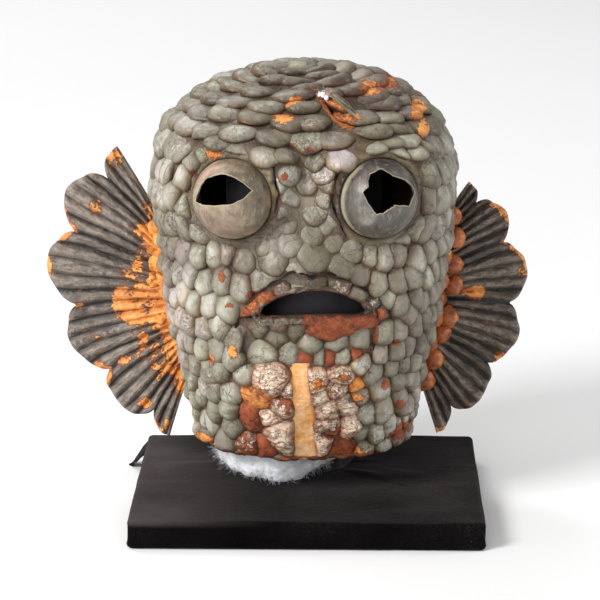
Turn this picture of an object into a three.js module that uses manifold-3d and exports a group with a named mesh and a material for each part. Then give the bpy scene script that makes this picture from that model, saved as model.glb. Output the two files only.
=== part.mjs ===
// A scaly alien mask on its display stand: a hollow full-head mask of painted foam latex with two broken
// plastic eye domes and two webbed side fins. A cloth-covered form on a velvet-covered board carries it by
// the crown, over a white pad, and a wad of white batting fills the front of the neck.
// Millimetres, +Z up. The face looks along -Y, and +X is the mask's own left.
import * as THREE from "three";
import Module from "manifold-3d";
import { mergeVertices } from "three/addons/utils/BufferGeometryUtils.js";

const wasm = await Module();
wasm.setup();

// The board
const BOARD_WIDTH = 360;
const BOARD_DEPTH = 300;
const BOARD_THICKNESS = 30;
const BOARD_EDGE = 5;
const BOARD_CORNER = 9;
const HEAD_SETBACK = 55; // from the board's middle back to the head's axis
const HEAD_SHIFT = -6; // from the board's middle to the head's axis, sideways
const HEAD_TURN = THREE.MathUtils.degToRad(1.8); // how far the face is turned to its own left
const GAP = 0.4; // between pieces that rest on each other

// The head, from the crown down: height, half width, depth to the front and depth to the back of its axis
const STATIONS = [
  [460, 0, 0, 0],
  [453, 58, 51, 50],
  [434, 105, 91, 90],
  [401, 139, 117, 117],
  [354, 154, 133, 129],
  [296, 150, 141, 130],
  [235, 141, 145, 126],
  [170, 129, 137, 119],
  [114, 118, 123, 111],
  [65, 108, 108, 102],
];
const RIM_HEIGHT = 65;
const ROUNDNESS = 2.3; // exponent of the head's cross-section, 2 being an ellipse
const WALL = 12;

// Swellings of the face: x, height, spread across, spread up, rise. Those off the middle come in pairs.
const SWELLINGS = [
  [68, 402, 42, 14, 12], // brows
  [0, 284, 38, 36, 14], // snout
  [0, 243, 62, 30, 9], // muzzle
  [98, 215, 30, 44, 7], // cheeks
  [0, 150, 46, 24, 8], // chin
];
const FACE_EDGE = 0.35; // cosine of the angle at which a swelling has faded out

// The scales
const SCALE_WIDTH = 37;
const SCALE_PITCH = 27; // from one row to the next, down the head
const SCALE_RISE = 8;
const FEWEST_SCALES = 6;
const SCATTER = 0.25; // how far a scale strays from its place, as a share of the spacing
const ROW_WANDER = 7; // how far a row strays up and down on its way round

// The strip down the chin that has lost its scales
const STRIP_X = -3;
const STRIP_HALF_WIDTH = 10;
const STRIP_TOP = 176;
const STRIP_DEPTH = 1.5; // below crease level

// The eyes
const EYE_X = 70.5;
const EYE_HEIGHT = 347;
const EYE_TURN = THREE.MathUtils.degToRad(17); // how far each looks outwards
const EYE_RADIUS = 41;
const EYE_WALL = 2;
const EYE_SKIRT = 12; // the straight part of a dome, inside its socket
const EYE_PROUD = 5; // from the face out to the dome's widest circle
const COLLAR_RISE = 6;

// The holes broken in the domes, as points [across, up] in shares of the radius, seen from in front and a
// little above. The one on the mask's right is a long lens, and the other is jagged.
const BREAK_TILT = THREE.MathUtils.degToRad(12);
const LENS_BREAK = [
  [0.46, 0.18],
  [0.22, 0.37],
  [-0.04, 0.52],
  [-0.27, 0.58],
  [-0.65, 0.48],
  [-0.84, 0.22],
  [-0.93, -0.08],
  [-0.75, -0.16],
  [-0.48, -0.19],
  [-0.04, -0.15],
  [0.24, -0.02],
];
const JAGGED_BREAK = [
  [0.9, 0.1],
  [0.84, 0.26],
  [0.66, 0.42],
  [0.36, 0.52],
  [0.07, 0.69],
  [-0.2, 0.57],
  [-0.26, 0.38],
  [-0.25, 0.26],
  [-0.39, 0.12],
  [-0.25, -0.15],
  [-0.06, -0.4],
  [0.14, -0.37],
  [0.27, -0.27],
  [0.4, -0.18],
  [0.75, -0.2],
];

// The mouth
const MOUTH_X = 8; // from the middle of the face
const MOUTH_HALF_WIDTH = 54;
const MOUTH_HEIGHT = 245;
const MOUTH_DROOP = 12; // how far the corners turn down
const MOUTH_HALF_GAP = 13;
const LIP_RADIUS = 7;

// The tear in the crown
const TEAR_X = 31;
const TEAR_Y = -98;
const TEAR_LENGTH = 42;
const TEAR_WIDTH = 8;
const TEAR_TURN = THREE.MathUtils.degToRad(-50);

// The fins, the mask's own left one being the smaller
const RIGHT_RAYS = [104, 134, 144, 130, 108, 86]; // lengths, from the top ray to the bottom one
const LEFT_RAYS = [60, 90, 108, 110, 100, 84];
const FIN_TOP = 282;
const FIN_BOTTOM = 136;
const FIN_ANGLE_TOP = THREE.MathUtils.degToRad(60);
const FIN_ANGLE_BOTTOM = THREE.MathUtils.degToRad(-72);
const FIN_SWEEP = THREE.MathUtils.degToRad(13);
const FIN_SUNK = 3; // how far its root starts inside the scales
const FIN_ROOT_ANGLE = THREE.MathUtils.degToRad(97); // round the head from the face's middle
const FIN_ROOT_THICKNESS = 20;
const FIN_EDGE_THICKNESS = 5;
const RAY_RISE = 4;
const WEB_DIP = 0.2; // how far the web falls back between two rays, as a share of their length
const FIN_CURL = 16;

// The cloth-covered form, from its foot up: height above the board, half width, front depth, back depth
const FORM_STATIONS = [
  [0, 50, 46, 44],
  [60, 48, 46, 42],
  [120, 58, 70, 46],
  [200, 78, 98, 54],
  [300, 84, 100, 58],
  [360, 80, 84, 56],
  [394, 52, 50, 40],
  [403, 0, 0, 0],
];

// The batting in the neck, and the pad under the crown
const BATTING_REACH = [72, 69]; // half width and depth of the arc that its middle follows
const BATTING_HALF = [19, 20]; // half its thickness outwards and up
const BATTING_START = THREE.MathUtils.degToRad(-88);
const BATTING_END = THREE.MathUtils.degToRad(34);
const PAD_RADII = [62, 66];

const TURN = 2 * Math.PI;

const clamp = (v, low, high) => Math.min(high, Math.max(low, v));
const smoothstep = (edge0, edge1, v) => {
  const s = clamp((v - edge0) / (edge1 - edge0), 0, 1);
  return s * s * (3 - 2 * s);
};

// A number from 0 to 1 that looks random and is the same every time for the same row, place and use.
function chance(row, place, use) {
  const v = Math.sin(row * 12.9898 + place * 78.233 + use * 37.719) * 43758.5453;
  return v - Math.floor(v);
}

// A smooth curve through the columns of a station table, at t from 0 to 1. Past a pole the widths run on
// negative, so that the surface is round there.
function station(table, t) {
  const last = table.length - 1;
  const mirrored = ([z, ...widths]) => [z, ...widths.map((w) => -w)];
  const at = (i) => {
    if (i < 0) return table[0][1] === 0 ? mirrored(table[1]) : table[0].map((v, c) => 2 * v - table[1][c]);
    if (i > last) {
      const end = table[last];
      return end[1] === 0 ? mirrored(table[last - 1]) : end.map((v, c) => 2 * v - table[last - 1][c]);
    }
    return table[i];
  };
  const u = clamp(t, 0, 1) * last;
  const i = Math.min(Math.floor(u), last - 1);
  const s = u - i;
  const [a, b, c, d] = [at(i - 1), at(i), at(i + 1), at(i + 2)];
  return b.map(
    (_, k) =>
      0.5 *
      (2 * b[k] +
        (c[k] - a[k]) * s +
        (2 * a[k] - 5 * b[k] + 4 * c[k] - d[k]) * s * s +
        (3 * b[k] - a[k] - 3 * c[k] + d[k]) * s * s * s),
  );
}

// The distance from the axis of a rounded square of unit half width, at an angle round it.
const squircle = (angle) =>
  Math.pow(
    Math.pow(Math.abs(Math.cos(angle)), ROUNDNESS) + Math.pow(Math.abs(Math.sin(angle)), ROUNDNESS),
    -1 / ROUNDNESS,
  );

// The head at crease level, without the swellings of its face. The angle is 0 in front and grows towards +X.
function plainHead(angle, t) {
  const [z, width, front, back] = station(STATIONS, t);
  const reach = squircle(angle);
  const depth = Math.cos(angle) > 0 ? front : back;
  return new THREE.Vector3(width * reach * Math.sin(angle), -depth * reach * Math.cos(angle), z);
}

function swelling(point, angle) {
  const fade = smoothstep(0, FACE_EDGE, Math.cos(angle));
  return SWELLINGS.reduce((sum, [x, z, across, up, rise]) => {
    const dx = (Math.abs(point.x) - x) / across;
    const dz = (point.z - z) / up;
    return sum + rise * fade * Math.exp(-0.5 * (dx * dx + dz * dz));
  }, 0);
}

function headNormal(angle, t) {
  const step = 0.004;
  const tMid = clamp(t, 2 * step, 1 - step);
  const alongRing = plainHead(angle + step, tMid).sub(plainHead(angle - step, tMid));
  const down = plainHead(angle, tMid + step).sub(plainHead(angle, tMid - step));
  return down.cross(alongRing).normalize();
}

// A point of the head, lifted off crease level along the normal.
function headPoint(angle, t, lift = 0) {
  const point = plainHead(angle, t);
  if (t === 0) return point.add(new THREE.Vector3(0, 0, lift));
  return point.addScaledVector(headNormal(angle, t), swelling(point, angle) + lift);
}

// The lengths down the head's mean profile, to place the rows of scales evenly.
const PROFILE_STEPS = 400;
const profileLengths = [0];
for (let i = 1; i <= PROFILE_STEPS; i++) {
  const [z0, w0, f0, b0] = station(STATIONS, (i - 1) / PROFILE_STEPS);
  const [z1, w1, f1, b1] = station(STATIONS, i / PROFILE_STEPS);
  const mean = (w1 - w0) / 2 + (f1 - f0 + b1 - b0) / 4;
  profileLengths.push(profileLengths[i - 1] + Math.hypot(mean, z1 - z0));
}
const PROFILE_LENGTH = profileLengths[PROFILE_STEPS];

function stationAtLength(length) {
  const i = clamp(profileLengths.findIndex((l) => l >= length), 1, PROFILE_STEPS);
  const share = (length - profileLengths[i - 1]) / (profileLengths[i] - profileLengths[i - 1]);
  return clamp((i - 1 + share) / PROFILE_STEPS, 0, 1);
}

// How far the rows lie below their even places at an angle, fading out at the pole and at the rim.
function wander(angle, length) {
  const fade = smoothstep(0, 90, length) * smoothstep(0, 60, PROFILE_LENGTH - length);
  const wave = Math.sin(3 * angle + length / 60) + 0.7 * Math.sin(7 * angle - length / 37);
  return (ROW_WANDER / 1.7) * fade * wave;
}

function girth(t) {
  const [, width, front, back] = station(STATIONS, t);
  const depth = (front + back) / 2;
  return Math.PI * (3 * (width + depth) - Math.sqrt((3 * width + depth) * (width + 3 * depth)));
}

// The rows of scales: where each row lies down the head, and the angle of each of its scales.
const ROW_COUNT = Math.round(PROFILE_LENGTH / SCALE_PITCH);
const ROW_PITCH = PROFILE_LENGTH / ROW_COUNT;
const rows = Array.from({ length: ROW_COUNT }, (_, row) => {
  const t = stationAtLength((row + 0.5) * ROW_PITCH);
  const count = Math.max(FEWEST_SCALES, Math.round(girth(t) / SCALE_WIDTH));
  const places = Array.from({ length: count }, (_, i) => i);
  const stagger = row % 2 ? 0.5 : 0;
  return {
    angles: places.map((i) => (TURN * (i + stagger + SCATTER * (chance(row, i, 0) - 0.5))) / count),
    rises: places.map((i) => SCALE_RISE * (0.75 + 0.5 * chance(row, i, 1))),
  };
});

// A closed surface through rings of points, from the top ring down. Rings may differ in how many points
// they have: a ring is {points, places}, where places are angles that grow anticlockwise seen from above.
function loft(rings, topPoint, bottomPoint) {
  const positions = [];
  const index = [];
  const put = (p) => positions.push(p.x, p.y, p.z) / 3 - 1;
  const stored = rings.map((ring) => ring.points.map(put));
  const near = (a, b) => Math.abs(Math.atan2(Math.sin(a - b), Math.cos(a - b)));
  for (let r = 0; r + 1 < rings.length; r++) {
    const [upper, lower] = [stored[r], stored[r + 1]];
    const [above, below] = [rings[r].places, rings[r + 1].places];
    const first = below.reduce((best, b, j) => (near(b, above[0]) < near(below[best], above[0]) ? j : best), 0);
    const turnsBelow = (j) => {
      const k = first + j;
      return below[k % below.length] + TURN * Math.floor(k / below.length);
    };
    const shift = TURN * Math.round((turnsBelow(0) - above[0]) / TURN);
    const turnsAbove = (i) => above[i % above.length] + TURN * Math.floor(i / above.length) + shift;
    let [i, j] = [0, 0];
    while (i < upper.length || j < lower.length) {
      const a = upper[i % upper.length];
      const b = lower[(first + j) % lower.length];
      const takeUpper = j === lower.length || (i < upper.length && turnsAbove(i + 1) <= turnsBelow(j + 1));
      if (takeUpper) index.push(a, b, upper[(i + 1) % upper.length]);
      else index.push(a, b, lower[(first + j + 1) % lower.length]);
      if (takeUpper) i++;
      else j++;
    }
  }
  const [top, bottom] = [put(topPoint), put(bottomPoint)];
  const head = stored[0];
  const foot = stored[stored.length - 1];
  head.forEach((a, i) => index.push(top, a, head[(i + 1) % head.length]));
  foot.forEach((a, i) => index.push(bottom, foot[(i + 1) % foot.length], a));
  return new THREE.BufferGeometry()
    .setAttribute("position", new THREE.BufferAttribute(new Float32Array(positions), 3))
    .setIndex(index);
}

// A closed plate between two grids of points of the same size, one in front of the other.
function plate(front, back) {
  const rowsOf = front.length;
  const columns = front[0].length;
  const positions = [...front.flat(), ...back.flat()].flatMap((p) => [p.x, p.y, p.z]);
  const f = (i, j) => i * columns + j;
  const b = (i, j) => rowsOf * columns + f(i, j);
  const index = [];
  const quad = (p, q, r, s) => index.push(p, q, r, p, r, s);
  for (let i = 0; i + 1 < rowsOf; i++) {
    for (let j = 0; j + 1 < columns; j++) {
      quad(f(i, j), f(i + 1, j), f(i + 1, j + 1), f(i, j + 1));
      quad(b(i, j), b(i, j + 1), b(i + 1, j + 1), b(i + 1, j));
    }
    quad(f(i, 0), b(i, 0), b(i + 1, 0), f(i + 1, 0));
    quad(f(i + 1, columns - 1), b(i + 1, columns - 1), b(i, columns - 1), f(i, columns - 1));
  }
  for (let j = 0; j + 1 < columns; j++) {
    quad(f(0, j + 1), b(0, j + 1), b(0, j), f(0, j));
    quad(f(rowsOf - 1, j), b(rowsOf - 1, j), b(rowsOf - 1, j + 1), f(rowsOf - 1, j + 1));
  }
  return new THREE.BufferGeometry()
    .setAttribute("position", new THREE.BufferAttribute(new Float32Array(positions), 3))
    .setIndex(index);
}

function solid(geometry) {
  const bare = geometry.clone();
  bare.deleteAttribute("normal");
  bare.deleteAttribute("uv");
  const merged = mergeVertices(bare, 1e-3);
  const made = new wasm.Manifold(
    new wasm.Mesh({
      numProp: 3,
      vertProperties: new Float32Array(merged.attributes.position.array),
      triVerts: new Uint32Array(merged.index.array),
    }),
  );
  if (made.volume() < 0) throw new Error("a solid is inside out");
  return made;
}

function shownGeometry(made) {
  const mesh = made.getMesh();
  const positions = new Float32Array(mesh.numVert * 3);
  for (let i = 0; i < mesh.numVert; i++) {
    positions.set(mesh.vertProperties.subarray(i * mesh.numProp, i * mesh.numProp + 3), i * 3);
  }
  const geometry = new THREE.BufferGeometry()
    .setAttribute("position", new THREE.BufferAttribute(positions, 3))
    .setIndex(new THREE.BufferAttribute(mesh.triVerts, 1))
    .toNonIndexed();
  geometry.computeVertexNormals();
  return geometry;
}

// The head's outside with its scales. Down each row come a ring with one high point to a scale, a ring
// with two, and a low ring where the next row starts; both high rings are low between the scales.
function scaledHead(extra = 0) {
  const rings = [];
  const ring = (places, length, lifts) => {
    const at = (a) => stationAtLength(length + wander(a, length));
    return { places, points: places.map((a, i) => headPoint(a, at(a), lifts[i] + extra)) };
  };
  rows.forEach(({ angles, rises }, row) => {
    const start = row * ROW_PITCH;
    const gaps = angles.map((a, i) => (a + (angles[i + 1] ?? angles[0] + TURN)) / 2);
    const shoulder = (0.33 * TURN) / angles.length;
    const narrow = angles.flatMap((a, i) => [a, gaps[i]]);
    const wide = angles.flatMap((a, i) => [a - shoulder, a + shoulder, gaps[i]]);
    const wideLifts = rises.flatMap((rise) => [rise, rise, 0]);
    rings.push(ring(narrow, start + 0.26 * ROW_PITCH, rises.flatMap((rise) => [0.8 * rise, 0])));
    rings.push(ring(wide, start + 0.72 * ROW_PITCH, wideLifts));
    if (row < ROW_COUNT - 1) rings.push(ring(gaps, start + ROW_PITCH, gaps.map(() => 0)));
    else rings.push(ring(wide, PROFILE_LENGTH, wideLifts.map((lift) => 0.6 * lift)));
  });
  return loft(rings, headPoint(0, 0, SCALE_RISE + extra), new THREE.Vector3(0, 0, RIM_HEIGHT));
}

// The hollow inside the head, run on through the neck's rim.
function hollowHead(shrink = 0) {
  const [around, down, below] = [20, 9, 10];
  const places = Array.from({ length: around }, (_, i) => (TURN * i) / around);
  const rings = Array.from({ length: down }, (_, k) => {
    const t = (k + 1) / down;
    return { places, points: places.map((a) => headPoint(a, t, -WALL - shrink)) };
  });
  const rim = rings[rings.length - 1].points.map((p) => new THREE.Vector3(p.x, p.y, RIM_HEIGHT - below));
  rings.push({ places, points: rim });
  return loft(rings, headPoint(0, 0, -WALL - shrink), new THREE.Vector3(0, 0, RIM_HEIGHT - below));
}

function heightToStation(z) {
  let [low, high] = [0, 1];
  for (let i = 0; i < 40; i++) {
    const middle = (low + high) / 2;
    if (station(STATIONS, middle)[0] > z) low = middle;
    else high = middle;
  }
  return low;
}

// The point of the face at a given place across it and a given height.
function facePoint(x, z, lift = 0) {
  const t = heightToStation(z);
  const [, width] = station(STATIONS, t);
  const across = Math.abs(x) / width;
  const ahead = Math.pow(1 - Math.pow(across, ROUNDNESS), 1 / ROUNDNESS);
  return headPoint(Math.atan2(Math.sign(x) * across, ahead), t, lift);
}

const up = new THREE.Vector3(0, 0, 1);

// Where an eye's widest circle is, with +Z of the frame along its line of sight. side is 1 on the mask's
// own left and -1 on its right.
function eyeFrame(side) {
  const sight = new THREE.Vector3(side * Math.sin(EYE_TURN), -Math.cos(EYE_TURN), 0);
  const middle = facePoint(side * EYE_X, EYE_HEIGHT).addScaledVector(sight, EYE_PROUD);
  const across = new THREE.Vector3().crossVectors(up, sight);
  return new THREE.Matrix4().makeBasis(across, up, sight).setPosition(middle);
}

// A solid of revolution about +Z, from a profile of [radius, height] points.
function turned(profile, segments) {
  return new THREE.LatheGeometry(
    profile.map(([r, z]) => new THREE.Vector2(r, z)),
    segments,
  ).rotateX(Math.PI / 2);
}

const EYE_SEGMENTS = 20;

function eyeSocketCutter(side) {
  const radius = EYE_RADIUS + GAP;
  const profile = [
    [0, -45],
    [radius, -45],
    [radius, 60],
    [0, 60],
  ];
  return solid(turned(profile, EYE_SEGMENTS).applyMatrix4(eyeFrame(side)));
}

// The raised collar that holds a dome, sunk into the wall.
function eyeCollar(side) {
  const inner = EYE_RADIUS - 2;
  const profile = [
    [inner, -24],
    [EYE_RADIUS + 17, -24],
    [EYE_RADIUS + 15, -8],
    [EYE_RADIUS + 8, COLLAR_RISE],
    [EYE_RADIUS + 2, COLLAR_RISE + 1],
    [inner, COLLAR_RISE - 4],
    [inner, -24],
  ];
  return solid(turned(profile, EYE_SEGMENTS).applyMatrix4(eyeFrame(side)));
}

function breakCutter(side) {
  const outline = (side < 0 ? LENS_BREAK : JAGGED_BREAK).map(
    ([across, height]) => new THREE.Vector2(across * EYE_RADIUS, height * EYE_RADIUS),
  );
  const middle = new THREE.Vector3().setFromMatrixPosition(eyeFrame(side));
  const cutter = new THREE.ExtrudeGeometry(new THREE.Shape(outline), {
    depth: 2 * EYE_RADIUS,
    bevelEnabled: false,
    steps: 1,
  });
  return solid(cutter.rotateX(Math.PI / 2 - BREAK_TILT).translate(middle.x, middle.y, middle.z));
}

function eyeDome(side) {
  const inner = EYE_RADIUS - EYE_WALL;
  const arc = Array.from({ length: 6 }, (_, i) => (Math.PI / 2) * (i / 5));
  const outside = arc.map((a) => [EYE_RADIUS * Math.cos(a), EYE_RADIUS * Math.sin(a)]);
  const inside = arc.map((a) => [inner * Math.cos(a), inner * Math.sin(a)]).reverse();
  outside[arc.length - 1][0] = 0;
  inside[0][0] = 0;
  const profile = [[inner, -EYE_SKIRT], [EYE_RADIUS, -EYE_SKIRT], ...outside, ...inside, [inner, -EYE_SKIRT]];
  const shell = solid(turned(profile, EYE_SEGMENTS).applyMatrix4(eyeFrame(side)));
  return shownGeometry(shell.subtract(breakCutter(side)));
}

// The mouth's outline on the face, at an angle round it: x and height.
function mouthOutline(angle, grow = 0) {
  const across = (MOUTH_HALF_WIDTH + grow) * Math.cos(angle);
  const arch = MOUTH_DROOP * (across / MOUTH_HALF_WIDTH) ** 2;
  return [MOUTH_X + across, MOUTH_HEIGHT - arch + (MOUTH_HALF_GAP + grow) * Math.sin(angle)];
}

function mouthCutter() {
  const points = Array.from({ length: 24 }, (_, i) => new THREE.Vector2(...mouthOutline((TURN * i) / 24)));
  const through = new THREE.ExtrudeGeometry(new THREE.Shape(points), {
    depth: 120,
    bevelEnabled: false,
    steps: 1,
  });
  return solid(through.rotateX(Math.PI / 2).translate(0, -80, 0));
}

// The rolled lips: a round section carried round the mouth's outline, half sunk in the face.
function lips() {
  const [around, section] = [24, 6];
  const ring = (i) => {
    const [x, z] = mouthOutline((TURN * i) / around, LIP_RADIUS - 1.5);
    return facePoint(x, z, 1);
  };
  const centres = Array.from({ length: around }, (_, i) => ring(i));
  const index = [];
  const positions = centres.flatMap((centre, i) => {
    const along = ring((i + 1) % around).sub(ring((i + around - 1) % around)).normalize();
    const out = new THREE.Vector3(0, -1, 0);
    const across = new THREE.Vector3().crossVectors(along, out).normalize();
    return Array.from({ length: section }, (_, k) => {
      const a = (TURN * k) / section;
      return centre
        .clone()
        .addScaledVector(out, LIP_RADIUS * Math.cos(a))
        .addScaledVector(across, LIP_RADIUS * Math.sin(a))
        .toArray();
    }).flat();
  });
  for (let i = 0; i < around; i++) {
    for (let k = 0; k < section; k++) {
      const [a, b] = [i * section + k, i * section + ((k + 1) % section)];
      const [c, d] = [((i + 1) % around) * section + k, ((i + 1) % around) * section + ((k + 1) % section)];
      index.push(a, b, d, a, d, c);
    }
  }
  return solid(
    new THREE.BufferGeometry()
      .setAttribute("position", new THREE.BufferAttribute(new Float32Array(positions), 3))
      .setIndex(index),
  );
}

// The slit torn in the crown, a thin diamond pushed straight down through the wall.
function tearCutter() {
  const outline = [
    [-TEAR_LENGTH / 2, 0],
    [-2, -TEAR_WIDTH / 2],
    [TEAR_LENGTH / 2, 0],
    [4, TEAR_WIDTH / 2],
  ].map(([x, y]) => new THREE.Vector2(x, y));
  const slit = new THREE.ExtrudeGeometry(new THREE.Shape(outline), { depth: 90, bevelEnabled: false });
  return solid(slit.rotateZ(TEAR_TURN).translate(TEAR_X, TEAR_Y, STATIONS[0][0] - 75));
}

// What the bare strip takes off the chin: a slab in front of the face that follows it.
function stripCutter() {
  const [across, down] = [2, 5];
  const layer = (lift) =>
    Array.from({ length: down + 1 }, (_, j) =>
      Array.from({ length: across + 1 }, (_, i) => {
        const x = STRIP_X + STRIP_HALF_WIDTH * ((2 * i) / across - 1);
        const z = STRIP_TOP + (RIM_HEIGHT + 1 - STRIP_TOP) * (j / down);
        const point = facePoint(x, z, lift);
        if (j === down) point.z = RIM_HEIGHT - 5;
        return point;
      }),
    );
  return solid(plate(layer(2 * SCALE_RISE), layer(-STRIP_DEPTH)));
}

// The biggest of a shape's separate surfaces: what is left once crumbs and pockets sealed inside are dropped.
const biggest = (shape) => shape.decompose().reduce((a, b) => (a.volume() > b.volume() ? a : b));

function maskSkin() {
  const raised = [lips(), eyeCollar(-1), eyeCollar(1)];
  const whole = raised.reduce((shape, piece) => shape.add(piece), solid(scaledHead()).subtract(stripCutter()));
  const cutters = [solid(hollowHead()), eyeSocketCutter(-1), eyeSocketCutter(1), mouthCutter(), tearCutter()];
  return shownGeometry(biggest(cutters.reduce((shape, cutter) => shape.subtract(cutter), whole)));
}

// A point of a fin's middle surface. q runs from the top ray to the bottom one and s from the root to the
// edge; side is as for the eyes.
function finMiddle(q, s, side) {
  const rays = side > 0 ? LEFT_RAYS : RIGHT_RAYS;
  const t = heightToStation(FIN_TOP + (FIN_BOTTOM - FIN_TOP) * q);
  const root = headPoint(side * FIN_ROOT_ANGLE, t, -FIN_SUNK);
  const angle = FIN_ANGLE_TOP + (FIN_ANGLE_BOTTOM - FIN_ANGLE_TOP) * q;
  const place = q * (rays.length - 1);
  const i = Math.min(Math.floor(place), rays.length - 2);
  const length = rays[i] + (rays[i + 1] - rays[i]) * (place - i);
  const web = 1 - Math.sqrt(Math.abs(Math.cos(Math.PI * place)));
  const reach = length * (1 - WEB_DIP * web) * s;
  const outwards = new THREE.Vector3(side * Math.cos(FIN_SWEEP), Math.sin(FIN_SWEEP), 0);
  return root
    .addScaledVector(outwards, reach * Math.cos(angle))
    .addScaledVector(up, reach * Math.sin(angle))
    .add(new THREE.Vector3(0, -FIN_CURL * s * s * s, 0));
}

// Half a fin's thickness: thick at the root, thin at the edge, with a ridge along each ray.
function finHalf(q, s) {
  const ray = Math.cos(Math.PI * q * (LEFT_RAYS.length - 1)) ** 2;
  const slab = FIN_EDGE_THICKNESS + (FIN_ROOT_THICKNESS - FIN_EDGE_THICKNESS) * (1 - s) ** 1.4;
  return slab / 2 + RAY_RISE * ray * (1 - 0.45 * s);
}

function finSolid(side) {
  const [perWeb, steps] = [4, 3];
  const columns = (LEFT_RAYS.length - 1) * perWeb + 1;
  const face = (sign) =>
    Array.from({ length: steps + 1 }, (_, j) =>
      Array.from({ length: columns }, (_, i) => {
        const [q, s] = [i / (columns - 1), j / steps];
        const point = finMiddle(q, s, side);
        point.y += sign * finHalf(q, s);
        return point;
      }),
    );
  return solid(side > 0 ? plate(face(1), face(-1)) : plate(face(-1), face(1)));
}

function board() {
  const [w, d, r] = [BOARD_WIDTH / 2 - BOARD_EDGE, BOARD_DEPTH / 2 - BOARD_EDGE, BOARD_CORNER];
  const outline = new THREE.Shape()
    .moveTo(-w + r, -d)
    .lineTo(w - r, -d)
    .quadraticCurveTo(w, -d, w, -d + r)
    .lineTo(w, d - r)
    .quadraticCurveTo(w, d, w - r, d)
    .lineTo(-w + r, d)
    .quadraticCurveTo(-w, d, -w, d - r)
    .lineTo(-w, -d + r)
    .quadraticCurveTo(-w, -d, -w + r, -d);
  return new THREE.ExtrudeGeometry(outline, {
    depth: BOARD_THICKNESS - 2 * BOARD_EDGE,
    bevelThickness: BOARD_EDGE,
    bevelSize: BOARD_EDGE,
    bevelSegments: 2,
    curveSegments: 2,
  }).translate(0, 0, BOARD_EDGE);
}

function form() {
  const [around, down] = [16, 10];
  const places = Array.from({ length: around }, (_, i) => (TURN * i) / around);
  const table = [...FORM_STATIONS].reverse();
  const foot = BOARD_THICKNESS + GAP;
  const ring = (t) => {
    const [z, width, front, back] = station(table, t);
    const points = places.map((a) => {
      const depth = Math.cos(a) > 0 ? front : back;
      return new THREE.Vector3(width * Math.sin(a), -depth * Math.cos(a), foot + z);
    });
    return { places, points };
  };
  const rings = Array.from({ length: down }, (_, k) => ring((k + 1) / down));
  const top = new THREE.Vector3(0, 0, foot + table[0][0]);
  return loft(rings, top, new THREE.Vector3(0, 0, foot));
}

// The wad of batting: an oval section carried round an arc of the neck, tapering to its ends.
function batting() {
  const [steps, around] = [12, 8];
  const rest = BOARD_THICKNESS + GAP;
  const sectionAt = (k) => {
    const share = k / steps;
    const a = BATTING_START + (BATTING_END - BATTING_START) * share;
    const swell = Math.sqrt(Math.max(0, 1 - Math.pow(Math.abs(2 * share - 1), 4)));
    const out = new THREE.Vector3(Math.sin(a), -Math.cos(a), 0);
    const middle = new THREE.Vector3(BATTING_REACH[0] * out.x, BATTING_REACH[1] * out.y, rest + BATTING_HALF[1]);
    return { out, middle, half: BATTING_HALF.map((h) => h * swell) };
  };
  const positions = [];
  for (let k = 1; k < steps; k++) {
    const { out, middle, half } = sectionAt(k);
    for (let i = 0; i < around; i++) {
      const a = (TURN * i) / around;
      const p = middle.clone().addScaledVector(out, half[0] * Math.cos(a)).addScaledVector(up, half[1] * Math.sin(a));
      positions.push(p.x, p.y, Math.max(p.z, rest));
    }
  }
  const index = [];
  for (let k = 0; k < steps - 2; k++) {
    for (let i = 0; i < around; i++) {
      const [a, b] = [k * around + i, k * around + ((i + 1) % around)];
      index.push(a, a + around, b + around, a, b + around, b);
    }
  }
  [0, steps].forEach((k, end) => {
    const tip = positions.length / 3;
    positions.push(...sectionAt(k).middle.toArray());
    const base = end ? (steps - 2) * around : 0;
    for (let i = 0; i < around; i++) {
      const [a, b] = [base + i, base + ((i + 1) % around)];
      index.push(...(end ? [tip, b, a] : [tip, a, b]));
    }
  });
  return new THREE.BufferGeometry()
    .setAttribute("position", new THREE.BufferAttribute(new Float32Array(positions), 3))
    .setIndex(index);
}

// The pad under the crown, an oval cut from the hollow's own top, so that it fits under it.
function crownPadding() {
  const bottom = BOARD_THICKNESS + 2 * GAP + FORM_STATIONS[FORM_STATIONS.length - 1][0];
  const height = STATIONS[0][0] - bottom;
  const disc = new THREE.CylinderGeometry(1, 1, height, 20, 1)
    .rotateX(Math.PI / 2)
    .scale(PAD_RADII[0], PAD_RADII[1], 1)
    .translate(0, 0, bottom + height / 2);
  return shownGeometry(solid(hollowHead(GAP)).intersect(solid(disc)));
}

const foamLatex = new THREE.MeshStandardMaterial({ color: 0x98937c, roughness: 0.6, metalness: 0 });
const finLatex = new THREE.MeshStandardMaterial({ color: 0x5f5247, roughness: 0.75, metalness: 0 });
const hornPlastic = new THREE.MeshStandardMaterial({ color: 0xa8977a, roughness: 0.3, metalness: 0 });
const blackVelvet = new THREE.MeshStandardMaterial({ color: 0x1c1a1b, roughness: 1, metalness: 0 });
const blackCloth = new THREE.MeshStandardMaterial({ color: 0x201e20, roughness: 0.95, metalness: 0 });
const whiteBatting = new THREE.MeshStandardMaterial({ color: 0xdcdfea, roughness: 1, metalness: 0 });

function piece(name, geometry, material) {
  const mesh = new THREE.Mesh(geometry, material);
  mesh.name = name;
  return mesh;
}

const part = new THREE.Group();
const onBoard = new THREE.Group();
const atHead = new THREE.Group();
atHead.position.set(HEAD_SHIFT, HEAD_SETBACK, 0);
atHead.rotation.z = HEAD_TURN;
onBoard.add(atHead);
part.add(onBoard);

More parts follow.
